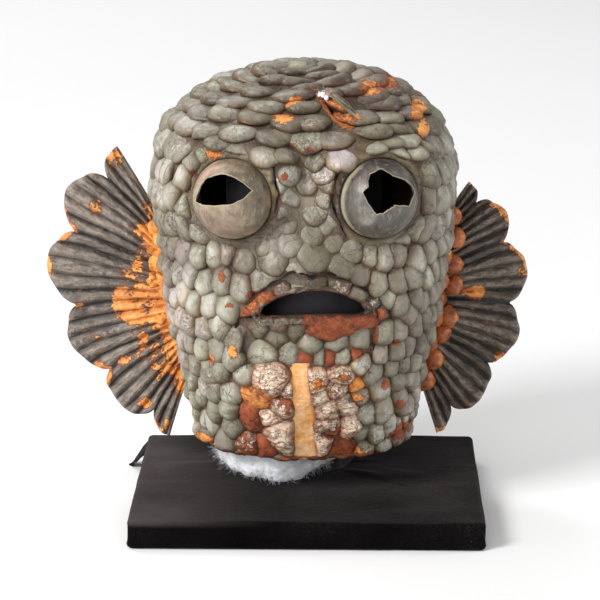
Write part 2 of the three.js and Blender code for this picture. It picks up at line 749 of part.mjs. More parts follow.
onBoard.add(piece("velvet_board", board(), blackVelvet));
atHead.add(piece("mask_skin", maskSkin(), foamLatex));
atHead.add(piece("cloth_form", form(), blackCloth));
atHead.add(piece("neck_batting", batting(), whiteBatting));
atHead.add(piece("crown_padding", crownPadding(), whiteBatting));
const clearOfHead = solid(scaledHead(GAP));
[-1, 1].forEach((side) => {
  const own = side > 0 ? "left" : "right";
  atHead.add(piece(`${own}_eye_dome`, eyeDome(side), hornPlastic));
  atHead.add(piece(`${own}_fin`, shownGeometry(finSolid(side).subtract(clearOfHead)), finLatex));
});

// The origin is on the table, under the middle of the whole object's box.
const extent = new THREE.Box3().setFromObject(onBoard, true);
const middle = extent.getCenter(new THREE.Vector3());
onBoard.position.set(-middle.x, -middle.y, -extent.min.z);

export default part;
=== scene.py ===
import math

import bpy
import numpy as np
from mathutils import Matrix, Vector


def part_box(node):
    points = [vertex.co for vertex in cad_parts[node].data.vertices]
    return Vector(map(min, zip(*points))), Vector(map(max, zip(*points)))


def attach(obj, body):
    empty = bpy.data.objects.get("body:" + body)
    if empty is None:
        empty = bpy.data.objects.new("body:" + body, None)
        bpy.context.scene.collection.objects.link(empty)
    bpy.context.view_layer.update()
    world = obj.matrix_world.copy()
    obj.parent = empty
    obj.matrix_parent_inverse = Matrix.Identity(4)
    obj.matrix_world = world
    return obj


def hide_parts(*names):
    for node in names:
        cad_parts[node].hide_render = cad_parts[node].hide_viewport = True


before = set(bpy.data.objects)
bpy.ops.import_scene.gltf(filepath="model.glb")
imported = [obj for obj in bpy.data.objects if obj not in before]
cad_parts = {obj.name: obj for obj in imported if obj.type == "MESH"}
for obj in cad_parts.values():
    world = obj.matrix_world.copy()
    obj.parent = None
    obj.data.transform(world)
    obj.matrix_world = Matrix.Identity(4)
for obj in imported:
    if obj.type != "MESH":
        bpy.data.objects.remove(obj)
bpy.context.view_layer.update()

TURN = 2 * math.pi
SIDE_NAMES = {-1: "right", 1: "left"}

# The stand and the head's place on it
BOARD_LOW, BOARD_HIGH = (1000 * np.array(corner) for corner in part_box("velvet_board"))
BOARD_MIDDLE = (BOARD_LOW + BOARD_HIGH) / 2
BOARD_TOP = BOARD_HIGH[2]
BOARD_EDGE = 5
BOARD_CORNER = 7
VELVET = 1.5  # how far the cover stands off the board's sides
HEAD_SETBACK = 55
HEAD_SHIFT = -6
HEAD_TURN = math.radians(1.8)

# The head, from the crown down: height, half width, depth to the front and to the back of its axis
STATIONS = np.array([
    [460, 0, 0, 0],
    [453, 58, 51, 50],
    [434, 105, 91, 90],
    [401, 139, 117, 117],
    [354, 154, 133, 129],
    [296, 150, 141, 130],
    [235, 141, 145, 126],
    [170, 129, 137, 119],
    [114, 118, 123, 111],
    [65, 108, 108, 102],
], float)
ROUNDNESS = 2.3
WALL = 12
RIM_HEIGHT = 65

# Swellings of the face: x, height, spread across, spread up, rise. Those off the middle come in pairs.
SWELLINGS = [
    [68, 402, 42, 14, 12],
    [0, 284, 38, 36, 14],
    [0, 243, 62, 30, 9],
    [98, 215, 30, 44, 7],
    [0, 150, 46, 24, 8],
]
FACE_EDGE = 0.35

# The eyes
EYE_X = 70.5
EYE_HEIGHT = 347
EYE_TURN = math.radians(17)
EYE_RADIUS = 41
EYE_WALL = 2
EYE_SKIRT = 12
EYE_PROUD = 5
EYE_GAP = 0.6
EYE_FIT = 0.4  # the least that the latex stands off a dome
EYE_BAND = 5  # the bare latex round each dome that the scales stop short of
COLLAR_HEIGHT = 3.5
COLLAR_REACH = [47, 66]  # from an eye's axis: where the collar starts to fall, and where it has run out
BREAK_TILT = math.radians(12)
LENS_BREAK = [
    [0.46, 0.18], [0.22, 0.37], [-0.04, 0.52], [-0.27, 0.58], [-0.65, 0.48], [-0.84, 0.22],
    [-0.93, -0.08], [-0.75, -0.16], [-0.48, -0.19], [-0.04, -0.15], [0.24, -0.02],
]
JAGGED_BREAK = [
    [0.9, 0.1], [0.84, 0.26], [0.66, 0.42], [0.36, 0.52], [0.07, 0.69], [-0.2, 0.57], [-0.26, 0.38],
    [-0.25, 0.26], [-0.39, 0.12], [-0.25, -0.15], [-0.06, -0.4], [0.14, -0.37], [0.27, -0.27],
    [0.4, -0.18], [0.75, -0.2],
]
# Nail holes in the domes, as shares of the radius seen from in front
NAIL_HOLES = {
    -1: [[0.62, -0.69], [0.745, 0.28], [0.46, -0.89]],
    1: [[-0.78, 0.46], [-0.63, 0.44], [-0.61, -0.66], [-0.56, -0.78], [-0.55, -0.95]],
}
# The directions of the photograph's view, along which the broken holes are cut
VIEW_ACROSS = np.array([1.0, 0, 0])
VIEW_UP = np.array([0, math.sin(BREAK_TILT), math.cos(BREAK_TILT)])
VIEW_BACK = np.array([0, -math.cos(BREAK_TILT), math.sin(BREAK_TILT)])

# The mouth, the tear above the forehead and the bare strip down the chin
MOUTH_X = 8
MOUTH_HEIGHT = 245
MOUTH_HALF = [54, 13]
MOUTH_DROOP = 12
LIP_GROWTH = 4.6
TEAR_MIDDLE = [31, -98]
TEAR_HALF = [21, 4]
TEAR_TURN = math.radians(-50)
STRIP_TOP = 176
STRIP_X = [1, -6]  # of its middle, at the rim and at the top
STRIP_HALF = [12, 7.5]
# The bare rubber of the lower lip: the lowest and highest x, and the height of its middle and half of it
PATCH_X = [-3, 76]
PATCH_HEIGHT = [220.5, 12.5]
# Cracks in the latex: x and height from end to end
CRACKS = [
    [[-31, 384], [-31, 369], [-27, 357], [-24, 353], [-27, 346], [-29, 333]],
    [[37, 378], [28, 364], [25, 350], [27, 336], [33, 325], [35, 316], [40, 307]],
    [[62, 236], [69, 222], [67, 203], [67, 183]],
    [[-45, 231], [-64, 226], [-67, 215], [-61, 203], [-64, 190]],
    [[-58, 243], [-44, 258], [-26, 268], [-12, 277], [4, 272], [22, 275], [42, 268], [58, 258], [68, 247]],
]

# The kinds of scale: half width, half height, rise, how flat its top is, how far its tip overlaps the next
# one, how far the tip stands out, and from 0 to 1 how freely it lies over its neighbours
KINDS = {
    "shingle": [15.5, 9.8, 5.4, 3.2, 0.3, 5.2, 0.9],
    "pebble": [10.8, 12.4, 10.5, 2.2, 0.16, 2.4, 0.4],
    "long": [13, 16.5, 10, 2.4, 0.28, 3.6, 0.45],
    "disc": [12.5, 11.5, 4.6, 3.2, 0.15, 2.2, 0.75],
    "cobble": [11.5, 9.5, 9, 2.2, 0, 0.4, 0.35],
    "back": [16.5, 14.5, 8.5, 2.6, 0.25, 2.8, 0.4],
}
GROUND_POINTS = 60000  # scattered over the skin, and shared out among the scales
EVENING_ROUNDS = 7
GAP_SCALE = 2.1  # squared distance to the nearest scale, in its own sizes, that calls for one more
SCALE_SINK = 2.8  # how deep a scale's edge lies in the skin
SCALE_OVERLAP = 1.13  # how far it reaches past the line halfway to its neighbour
SCALE_FOOT = 5  # how much deeper its foot is
LOOSE_REACH = 0.42  # how much larger a scale is that lies freely over its neighbours
SCALE_FLOW = 0.55  # how far the tips turn outwards at the sides of the head, in radians
WRINKLES = [(0.7, 7, 8), (0.5, 4, 9)]  # depth, size and seed of the folds in a scale that is worn pale
CROWN_CHART = 100  # nearer the pole than this, a scale is laid out on a chart seen from above

# Scales with a place of their own, below the mouth and on the chin: x, height, half width, half height,
# rise, tone, how much of each is worn pale and worn bare, and 0 for rust to 1 for fresh orange
CHIN_SCALES = [
    [-45, 216, 11, 9, 6, -1.2, 0.3, 0.25, 0],
    [-27, 221, 10, 7, 6, -1.5, 0.35, 0.3, 0.1],
    [-29, 205, 13, 9, 5, -1.0, 0.15, 0.1, 0],
    [-9, 214, 9, 11, 6.5, -1.3, 0.25, 0.2, 0],
    [30, 199, 11, 8.5, 7.5, 0.3, 0, 0, 0],
    [54, 201, 10, 9.5, 8, 0.2, 0, 0.1, 0],
    [-41, 189, 14, 10, 4.5, 0.5, 0, 0, 0],
    [-17, 189, 11, 10, 4.5, 0.3, 0, 0, 0],
    [0, 185, 8, 9, 3.5, 0.2, 0, 0.95, 0],
    [14, 186, 6, 7.5, 6, 0.8, 0.1, 0, 0],
    [24, 186, 6, 8, 4, 0.2, 0, 0.9, 0],
    [38, 184, 8, 8, 7, 0.6, 0.2, 0.1, 0],
    [50, 186, 5, 8, 4.5, 0.2, 0, 0.9, 0.1],
    [-34, 162, 19, 15, 9.5, 0.8, 0.95, 0.1, 0.4],
    [-17, 150, 6, 6.5, 7, 0.8, 0.9, 0.1, 0.2],
    [8, 161, 12, 12, 9, 0.8, 0.95, 0.2, 0.8],
    [37, 166, 13, 9.5, 9, 0.8, 0.95, 0.25, 0.4],
    [15, 142, 8, 7.5, 7, 0.5, 0.7, 0.1, 0],
    [31, 149, 12, 7.5, 8, 0.6, 0.75, 0.35, 0.5],
    [51, 152, 7, 7, 6, 0.2, 0.1, 0.9, 0.7],
    [-47, 139, 14, 11, 7, 0.1, 0.2, 0.9, 0.5],
    [-23, 129, 9, 10, 8, 0.5, 0.7, 0.45, 0.1],
    [-56, 112, 12, 18, 8, 0.3, 0.5, 0.8, 0.25],
    [-36, 114, 11, 8, 7, 0.7, 0.85, 0.2, 0.1],
    [-24, 91, 13, 21, 9.5, 0.7, 0.8, 0.05, 0],
    [-41, 80, 9, 14, 7, 0.0, 0.2, 0.75, 0],
    [-59, 80, 12, 12, 7, 0.6, 0.8, 0.5, 0.1],
    [24, 124, 10, 10, 8, 0.7, 0.8, 0.1, 0.2],
    [43, 130, 11, 12, 8, 0.5, 0.6, 0.1, 0.2],
    [24, 104, 11, 9, 7, 0.6, 0.7, 0.45, 0.4],
    [47, 103, 11, 15, 8.5, 0.7, 0.8, 0.1, 0.2],
    [18, 83, 9, 14, 8, 0.7, 0.8, 0.1, 0.2],
    [40, 77, 16, 12, 5, 0.2, 0.3, 0.75, 0.25],
]
# Cracked slabs in a row along the upper lip, as shares of its length from its own left, and how far out
LIP_SLABS = [0.04, 0.13, 0.27, 0.36, 0.5, 0.66, 0.77, 0.87, 0.96]
LIP_SLAB_REACH = 9.5

# Where orange foam shows: x, height, half width, half height, and 0 for rust to 1 for fresh orange
BARE_SPOTS = [
    [-90, 391, 10, 5, 1], [-112, 371, 5, 4, 0.2], [-84, 268, 3, 5, 0.1], [-77, 240, 5, 2.5, 0.1],
    [-74, 189, 4, 7, 0.8], [-96, 175, 3, 6, 0.5], [-104, 70, 12, 8, 0.8], [-70, 66, 20, 4, 0],
    [116, 423, 9, 7, 0.5], [66, 446, 15, 5, 0.45], [88, 447, 11, 4, 0.4], [121, 408, 5, 7, 0.8],
    [-21, 424, 11, 3.5, 0.8], [75, 228, 7, 7, 0.7], [71, 210, 3, 16, 0.2], [-31, 233, 14, 3, 0.8],
    [-22, 250, 22, 4, 0.1], [-52, 253, 8, 4, 0.1], [12, 158, 6, 5, 0.6], [39, 163, 6, 4, 0.4],
    [52, 138, 10, 5, 0.7], [24, 96, 9, 6, 0.4], [48, 74, 12, 5, 0.6], [82, 150, 5, 5, 0.3],
    [98, 120, 6, 5, 0.2], [100, 82, 14, 10, 0], [-40, 66, 30, 4, 0], [40, 66, 44, 4, 0],
    [92, 196, 5, 3, 0.3], [-22, 372, 4, 3, 0.2], [4, 396, 5, 2, 0.3],
]
RED_CRACKS = [
    [(-17, -97, 436), (16, -70, 448), 4.5],
    [(-34, -100, 424), (-14, -105, 428), 3],
]

# The fins, the mask's own left one being the smaller
RAYS = {-1: [104, 134, 144, 130, 108, 86], 1: [60, 90, 108, 110, 100, 84]}
FIN_TOP, FIN_BOTTOM = 282, 136
FIN_ANGLES = [math.radians(60), math.radians(-72)]
FIN_SWEEP = math.radians(13)
FIN_SUNK = 3
FIN_ROOT_ANGLE = math.radians(97)
FIN_THICKNESS = [20, 5]  # at the root and at the edge
RAY_RISE = 7
WEB_DIP = 0.2
FIN_CURL = 16
CORDS = 5  # in each ray
CORD_DEPTH = 6.2
ROOT_LUMPS = [10, 26]  # how far out from the root the two columns of lumps stand
LUMP_COUNTS = {-1: 150, 1: 17}

# The cloth-covered form, from its foot up: height above the board, half width, front depth, back depth
FORM_STATIONS = np.array([
    [0, 50, 46, 44], [60, 48, 46, 42], [120, 58, 70, 46], [200, 78, 98, 54],
    [300, 84, 100, 58], [360, 80, 84, 56], [394, 52, 50, 40], [403, 0, 0, 0],
], float)
GAP = 0.4

BATTING_REACH = [74, 71]
BATTING_HALF = [21, 19]
BATTING_ENDS = [math.radians(-112), math.radians(27)]
BATTING_TURN_IN = 0.3  # how far its thin end turns in under the rim, as a share of the reach
WAD_FIBRES = 2200
TUFT = np.array([[19, -84, 443.5], [22, -88, 441.5], [16, -81, 443.0]])  # the middles of its three lumps
TUFT_SIZES = np.array([3.4, 2.7, 2.4])
TUFT_FIBRES = 160


def smoothstep(edge0, edge1, value):
    share = np.clip((value - edge0) / (edge1 - edge0), 0, 1)
    return share * share * (3 - 2 * share)


def noise(points, size, seed=0):
    """Smooth noise from -1 to 1: a random number at each corner of a cubic lattice, blended by smoothstep."""
    place = np.asarray(points, float) / size + 13.7 * seed
    cell = np.floor(place)
    share = place - cell
    share = share * share * (3 - 2 * share)
    total = np.zeros(place.shape[:-1])
    for corner in np.ndindex(2, 2, 2):
        value = np.sin((cell + corner) @ np.array([127.1, 311.7, 74.7]) + seed) * 43758.5453
        total += (value - np.floor(value)) * np.prod(np.where(corner, share, 1 - share), axis=-1)
    return 2 * total - 1


def layered(points, *layers):
    """Noise in layers, each with a depth, a size and a seed."""
    return sum(depth * noise(points, size, seed) for depth, size, seed in layers)


def turns(count):
    """Angles evenly round a circle."""
    return TURN * np.arange(count) / count


def columns_of(*parts):
    """Arrays that broadcast together, stacked as the last axis."""
    return np.stack(np.broadcast_arrays(*parts), axis=-1)


def station(t):
    """Catmull-Rom curve through the rows of STATIONS at t from 0 to 1: height, half width, front and back."""
    last = len(STATIONS) - 1
    mirrored = STATIONS[1] * [1, -1, -1, -1]
    knots = np.vstack([mirrored, STATIONS, 2 * STATIONS[last] - STATIONS[last - 1]])
    place = np.clip(t, 0, 1) * last
    i = np.minimum(np.floor(place).astype(int), last - 1)
    s = (place - i)[..., None]
    a, b, c, d = (knots[i + k] for k in range(4))
    curve = 2 * b + (c - a) * s + (2 * a - 5 * b + 4 * c - d) * s**2 + (3 * b - a - 3 * c + d) * s**3
    return 0.5 * np.moveaxis(curve, -1, 0)


def plain_head(angle, t):
    """The head before its face swells: at each height a rounded square of exponent ROUNDNESS, stretched to
    the station's half width and depths. The angle is 0 in front and grows towards +X."""
    z, width, front, back = station(t)
    s, c = np.sin(angle), np.cos(angle)
    reach = (np.abs(c) ** ROUNDNESS + np.abs(s) ** ROUNDNESS) ** (-1 / ROUNDNESS)
    depth = np.where(c > 0, front, back)
    return columns_of(width * reach * s, -depth * reach * c, z)


def unit(vectors):
    return vectors / np.maximum(np.linalg.norm(vectors, axis=-1, keepdims=True), 1e-9)


def head_normal(angle, t):
    """The plain head's outward direction, across two short steps over its surface."""
    step = 0.004
    t = np.clip(t, 2 * step, 1 - step)
    along = plain_head(angle + step, t) - plain_head(angle - step, t)
    down = plain_head(angle, t + step) - plain_head(angle, t - step)
    return unit(np.cross(down, along))


def swelling(point, angle):
    """The sum of bell-shaped rises over the face, fading out round its sides."""
    fade = smoothstep(0, FACE_EDGE, np.cos(angle))
    total = 0
    for x, z, across, up, rise in SWELLINGS:
        dx = (np.abs(point[..., 0]) - x) / across
        dz = (point[..., 2] - z) / up
        total = total + rise * fade * np.exp(-0.5 * (dx * dx + dz * dz))
    return total


# Lengths down the head's mean profile, matched to t
PROFILE_T = np.linspace(0, 1, 801)
PROFILE = station(PROFILE_T)
MEAN_WIDTH = PROFILE[1] / 2 + (PROFILE[2] + PROFILE[3]) / 4
PROFILE_LENGTHS = np.append(0, np.cumsum(np.hypot(np.diff(MEAN_WIDTH), np.diff(PROFILE[0]))))
PROFILE_LENGTH = PROFILE_LENGTHS[-1]


def at_length(length):
    return np.interp(length, PROFILE_LENGTHS, PROFILE_T)


def height_to_length(z):
    return np.interp(-np.asarray(z, float), -PROFILE[0], PROFILE_LENGTHS)


def face_place(x, z):
    """The angle and length of the place on the face at a given x and height."""
    length = height_to_length(z)
    across = np.clip(np.abs(x) / station(at_length(length))[1], 0, 0.999)
    ahead = (1 - across**ROUNDNESS) ** (1 / ROUNDNESS)
    return np.arctan2(np.sign(x) * across, ahead), length


def swollen(angle, length):
    """A point of the swollen head, and the plain head's normal there."""
    t = at_length(length)
    point = plain_head(angle, t)
    normal = head_normal(angle, t)
    return point + normal * swelling(point, angle)[..., None], normal


def eye_frame(side):
    """The middle of an eye's widest circle, and its across, up and sight directions. side is 1 on the mask's
    own left and -1 on its right."""
    sight = np.array([side * math.sin(EYE_TURN), -math.cos(EYE_TURN), 0])
    up = np.array([0.0, 0.0, 1.0])
    middle = swollen(*face_place(np.array(side * EYE_X), EYE_HEIGHT))[0] + EYE_PROUD * sight
    return middle, np.cross(up, sight), up, sight


EYES = {side: eye_frame(side) for side in (-1, 1)}


def from_eye(point, side):
    """Distance from an eye's axis, and how far along its line of sight from the widest circle."""
    middle, _, _, sight = EYES[side]
    offset = point - middle
    ahead = offset @ sight
    return np.linalg.norm(offset - ahead[..., None] * sight, axis=-1), ahead


def skin(angle, length, lift=0.0):
    """A point of the mask's skin: the swollen head, raised round each eye into a collar that carries the
    dome, and lifted off crease level along the head's normal."""
    point, normal = swollen(angle, length)
    for side in EYES:
        radius, ahead = from_eye(point, side)
        wanted = COLLAR_HEIGHT - 14 * smoothstep(*COLLAR_REACH, radius)
        facing = np.maximum(normal @ EYES[side][3], 0.5)
        need = (wanted - ahead) / facing
        near = smoothstep(COLLAR_REACH[1] + 8, COLLAR_REACH[1] - 4, radius) * (np.abs(ahead) < 60)
        point = point + normal * (0.5 * (need + np.sqrt(need * need + 6)) * near)[..., None]
    return point + normal * np.asarray(lift)[..., None]


# How far a point of the skin is from each opening, in millimetres, negative inside it
def off_eye(point, side):
    """The round opening of an eye, with a gap round its dome."""
    radius, ahead = from_eye(point, side)
    return np.where(ahead > -70, radius - EYE_RADIUS - EYE_GAP, 300)


def off_mouth(point, grow=0.0):
    """The mouth: an ellipse that droops towards its ends, grown on every side."""
    across = point[..., 0] - MOUTH_X
    height = point[..., 2] - MOUTH_HEIGHT + MOUTH_DROOP * (across / MOUTH_HALF[0]) ** 2
    a, b = across / (MOUTH_HALF[0] + grow), height / (MOUTH_HALF[1] + grow)
    ring = np.maximum(np.hypot(a, b), 1e-6)
    slope = np.hypot(a / (MOUTH_HALF[0] + grow), b / (MOUTH_HALF[1] + grow)) / ring
    return np.where(point[..., 1] < -60, (ring - 1) / np.maximum(slope, 1e-3), 300)


def off_tear(point):
    """The tear: a slit seen from above, widest in its middle and pointed at both ends."""
    x, y = point[..., 0] - TEAR_MIDDLE[0], point[..., 1] - TEAR_MIDDLE[1]
    c, s = math.cos(TEAR_TURN), math.sin(TEAR_TURN)
    along, across = x * c + y * s, y * c - x * s
    half = TEAR_HALF[1] * np.clip(1 - np.abs(along) / TEAR_HALF[0], 0, 1)
    beyond = np.maximum(np.abs(along) - TEAR_HALF[0], 0)
    inside = np.abs(across) - half
    outside = np.hypot(beyond, np.maximum(inside, 0))
    return np.where(point[..., 2] > 385, np.where((inside < 0) & (beyond == 0), inside, outside), 300)


def off_strip(point):
    """The bare strip down the chin, a little narrower at its top."""
    share = np.clip((point[..., 2] - RIM_HEIGHT) / (STRIP_TOP - RIM_HEIGHT), 0, 1)
    middle = STRIP_X[0] + (STRIP_X[1] - STRIP_X[0]) * share
    half = STRIP_HALF[0] + (STRIP_HALF[1] - STRIP_HALF[0]) * share
    side = np.abs(point[..., 0] - middle) - half
    above = point[..., 2] - STRIP_TOP
    return np.where(point[..., 1] < 0, np.where(above > 0, np.hypot(np.maximum(side, 0), above), side), 300)


def off_rim(point):
    """The neck's ragged rim."""
    return point[..., 2] - RIM_HEIGHT - 2 - 2.5 * noise(point * [1, 1, 0], 16, 15)


def off_line(point, line, axes):
    """Distance to a line of straight runs, over the given axes of the points."""
    flat = point[..., axes]
    best = 300.0
    for a, b in zip(np.array(line[:-1], float), np.array(line[1:], float)):
        share = np.clip((flat - a) @ (b - a) / np.sum((b - a) ** 2), 0, 1)
        best = np.minimum(best, np.linalg.norm(flat - a - share[..., None] * (b - a), axis=-1))
    return best


def off_cracks(point):
    """The cracks, each 2 mm wide."""
    distance = np.min([off_line(point, crack, [0, 2]) for crack in CRACKS], axis=0)
    return np.where(point[..., 1] < 0, distance - 1, 300)


def patch_hang(x):
    """How far the lower edge of the lip's bare rubber hangs down: most near its own right end."""
    return 6 * smoothstep(0, 12, x) - 17 * smoothstep(20, 70, x) + 2.5 * noise(columns_of(x, 0, 0), 9, 26)


def off_patch(point):
    """The lower lip's bare rubber: a rectangle whose lower edge hangs down by patch_hang."""
    across = np.abs(point[..., 0] - sum(PATCH_X) / 2) - (PATCH_X[1] - PATCH_X[0]) / 2
    up = np.abs(point[..., 2] - PATCH_HEIGHT[0]) - PATCH_HEIGHT[1]
    up = up - np.where(point[..., 2] < PATCH_HEIGHT[0], patch_hang(point[..., 0]), 0)
    outside = np.hypot(np.maximum(across, 0), np.maximum(up, 0))
    return np.where(point[..., 1] < 0, outside + np.minimum(np.maximum(across, up), 0), 300)


# The scales keep clear of the fences, and the skin is cut by the holes
FENCES = [
    lambda p: off_eye(p, -1) - EYE_BAND,
    lambda p: off_eye(p, 1) - EYE_BAND,
    lambda p: off_mouth(p, 2),
    off_tear,
    off_strip,
    off_rim,
    off_cracks,
    lambda p: off_patch(p) + 3.5,
]
HOLES = [lambda p: off_eye(p, -1), lambda p: off_eye(p, 1), lambda p: off_mouth(p, 1), off_tear]


def clearance(point):
    """How far a point is from the nearest fence."""
    return np.min([fence(point) for fence in FENCES], axis=0)


def zone_weights(point, angle):
    """How much of each kind of scale a place wants, the kinds in the order of KINDS, adding up to 1."""
    x, z = np.abs(point[..., 0]), point[..., 2]
    front = smoothstep(-0.25, 0.2, np.cos(angle))
    high = np.maximum(smoothstep(380, 402, z), smoothstep(322, 348, z) * smoothstep(42, 34, x))
    shingle = high * front
    rest = front * (1 - high)
    disc = rest * smoothstep(64, 50, x) * smoothstep(258, 266, z)
    cobble = rest * smoothstep(72, 60, x) * smoothstep(184, 172, z)
    long = (rest - disc - cobble) * smoothstep(98, 118, x) * smoothstep(285, 315, z)
    pebble = np.maximum(rest - disc - cobble - long, 0)
    return columns_of(shingle, pebble, long, disc, cobble, 1 - front)


def scale_traits(point, angle):
    """The kinds' numbers blended by the zone's weights, sizes that wander from place to place, and smaller
    scales along the lips and round the outer sides of the eyes."""
    traits = zone_weights(point, angle) @ np.array(list(KINDS.values()))
    traits[..., :2] *= 1 + 0.2 * noise(point, 27, 14)[..., None]
    lips = smoothstep(24, 12, off_mouth(point)) * (point[..., 2] > MOUTH_HEIGHT - 8)
    eye = np.min([from_eye(point, side)[0] for side in EYES], axis=0)
    around = smoothstep(68, 54, eye) * smoothstep(40, 70, np.abs(point[..., 0])) * (point[..., 1] < 0)
    traits[..., :2] *= (1 - 0.42 * lips - 0.25 * around)[..., None]
    traits[..., 2] *= 1 - 0.45 * lips - 0.2 * around
    between = smoothstep(390, 372, point[..., 2]) * smoothstep(46, 34, np.abs(point[..., 0]))
    traits[..., 0] *= 1 - 0.25 * between * smoothstep(300, 322, point[..., 2])
    traits[..., 2] *= 1 - 0.3 * between * smoothstep(300, 322, point[..., 2])
    return traits


def mouth_outline(angle, grow):
    """Where the mouth's edge is at each turn round its middle, grown outwards: x and height."""
    across = (MOUTH_HALF[0] + grow) * np.cos(angle)
    arch = MOUTH_DROOP * (across / MOUTH_HALF[0]) ** 2
    return MOUTH_X + across, MOUTH_HEIGHT - arch + (MOUTH_HALF[1] + grow) * np.sin(angle)


def lip_slabs():
    """The slabs of the upper lip, with the numbers of CHIN_SCALES, along the mouth's upper outline."""
    share = np.array(LIP_SLABS)
    x, z = mouth_outline(math.pi * share, LIP_SLAB_REACH)
    tone = 0.5 * np.sin(9 * share) - 1.0
    worn = 0.34 + 0.12 * np.sin(5 + 23 * share)
    bare = 0.3 + 0.5 * smoothstep(0.6, 0.85, share)
    return columns_of(x, z, 10, 7.5, 6, tone, worn, bare, 0.3)


SET_SCALES = np.vstack([CHIN_SCALES, lip_slabs()])


def tangents(angle, length):
    """The skin's unit directions round and down the head, its normal, and how long a step is in each."""
    step = 0.6
    turn = step / np.maximum(station(at_length(length))[1], 20)
    around = (skin(angle + turn, length) - skin(angle - turn, length)) / (2 * turn)[..., None]
    down = (skin(angle, length + step) - skin(angle, length - step)) / (2 * step)
    speed, stretch = np.linalg.norm(around, axis=-1), np.linalg.norm(down, axis=-1)
    across, down = unit(around), unit(down)
    return across, down, unit(np.cross(down, across)), speed, stretch


def size_distance(ground, angle, length, half):
    """Squared distance from each point of the ground to each scale's middle, in units of the scale's size."""
    middle = skin(angle, length)
    across, down, out, _, _ = tangents(angle, length)
    distance = 0
    for axis, size in ((across, half[:, 0]), (down, half[:, 1]), (out, half[:, 0])):
        distance = distance + ((ground @ axis.T - np.sum(middle * axis, axis=1)) / size) ** 2
    return distance


def packed_scales(random):
    """Where the scales sit. They start in staggered rows, each taking its width of the girth. Ground that is
    far from all of them gets a scale of its own, and they are evened out by moving each one to the middle of
    the ground that is nearest to it, in units of its own size."""
    angles, lengths = [], []
    length, row = 9.0, 0
    while length < PROFILE_LENGTH - 6:
        fine = np.linspace(0, TURN, 1441)
        point = skin(fine, np.full_like(fine, length))
        traits = scale_traits(point, fine)
        count = np.append(0, np.cumsum(np.linalg.norm(np.diff(point, axis=0), axis=1) / (2 * traits[:-1, 0])))
        count *= max(1, round(count[-1])) / count[-1]
        places = np.arange(round(count[-1])) + 0.5 * (row % 2)
        angles.append(np.interp(places, count, fine))
        lengths.append(np.full(len(places), length))
        length += 2 * 0.93 * float(np.mean(traits[:, 1]))
        row += 1
    angle, length = np.concatenate(angles), np.concatenate(lengths)
    point = skin(angle, length)
    set_angle, set_length = face_place(SET_SCALES[:, 0], SET_SCALES[:, 1])
    near_set = size_distance(point, set_angle, set_length, SET_SCALES[:, 2:4]).min(axis=1) < 2
    keep = (clearance(point) > 3.5) & ~near_set
    angle, length = np.append(set_angle, angle[keep]), np.append(set_length, length[keep])

    ground_angle = random.uniform(0, TURN, GROUND_POINTS)
    ground_length = random.uniform(0, PROFILE_LENGTH, GROUND_POINTS)
    ground = skin(ground_angle, ground_length)
    *_, speed, stretch = tangents(ground_angle, ground_length)
    ground_half = scale_traits(ground, ground_angle)[:, :2]
    weight = speed * stretch / np.prod(ground_half, axis=1)
    kept = (random.uniform(0, 1, GROUND_POINTS) < weight / weight.max()) & (clearance(ground) > 0)
    ground_angle, ground_length, ground = ground_angle[kept], ground_length[kept], ground[kept]
    roomy = clearance(ground) > 5
    for loop in range(EVENING_ROUNDS):
        half = scale_traits(skin(angle, length), angle)[:, :2]
        half[: len(SET_SCALES)] = SET_SCALES[:, 2:4]
        distance = size_distance(ground, angle, length, half)
        if loop in (0, 2, 4):
            nearest_distance = np.where(roomy, distance.min(axis=1), 0)
            while nearest_distance.max() > GAP_SCALE:
                new = [np.argmax(nearest_distance)]
                angle, length = np.append(angle, ground_angle[new]), np.append(length, ground_length[new])
                own = scale_traits(ground[new], ground_angle[new])[:, :2]
                column = size_distance(ground, ground_angle[new], ground_length[new], own)
                distance = np.concatenate([distance, column], axis=1)
                nearest_distance = np.minimum(nearest_distance, column[:, 0])
        count = distance.shape[1]
        nearest = np.argmin(distance, axis=1)
        owned = np.maximum(np.bincount(nearest, minlength=count), 1)
        means = np.stack([np.bincount(nearest, ground[:, k], count) / owned for k in range(3)], 1)
        order = np.lexsort((np.linalg.norm(ground - means[nearest], axis=1), nearest))
        owners, first = np.unique(nearest[order], return_index=True)
        moved = owners >= len(SET_SCALES)
        angle[owners[moved]] = ground_angle[order[first[moved]]]
        length[owners[moved]] = ground_length[order[first[moved]]]
    return angle, length


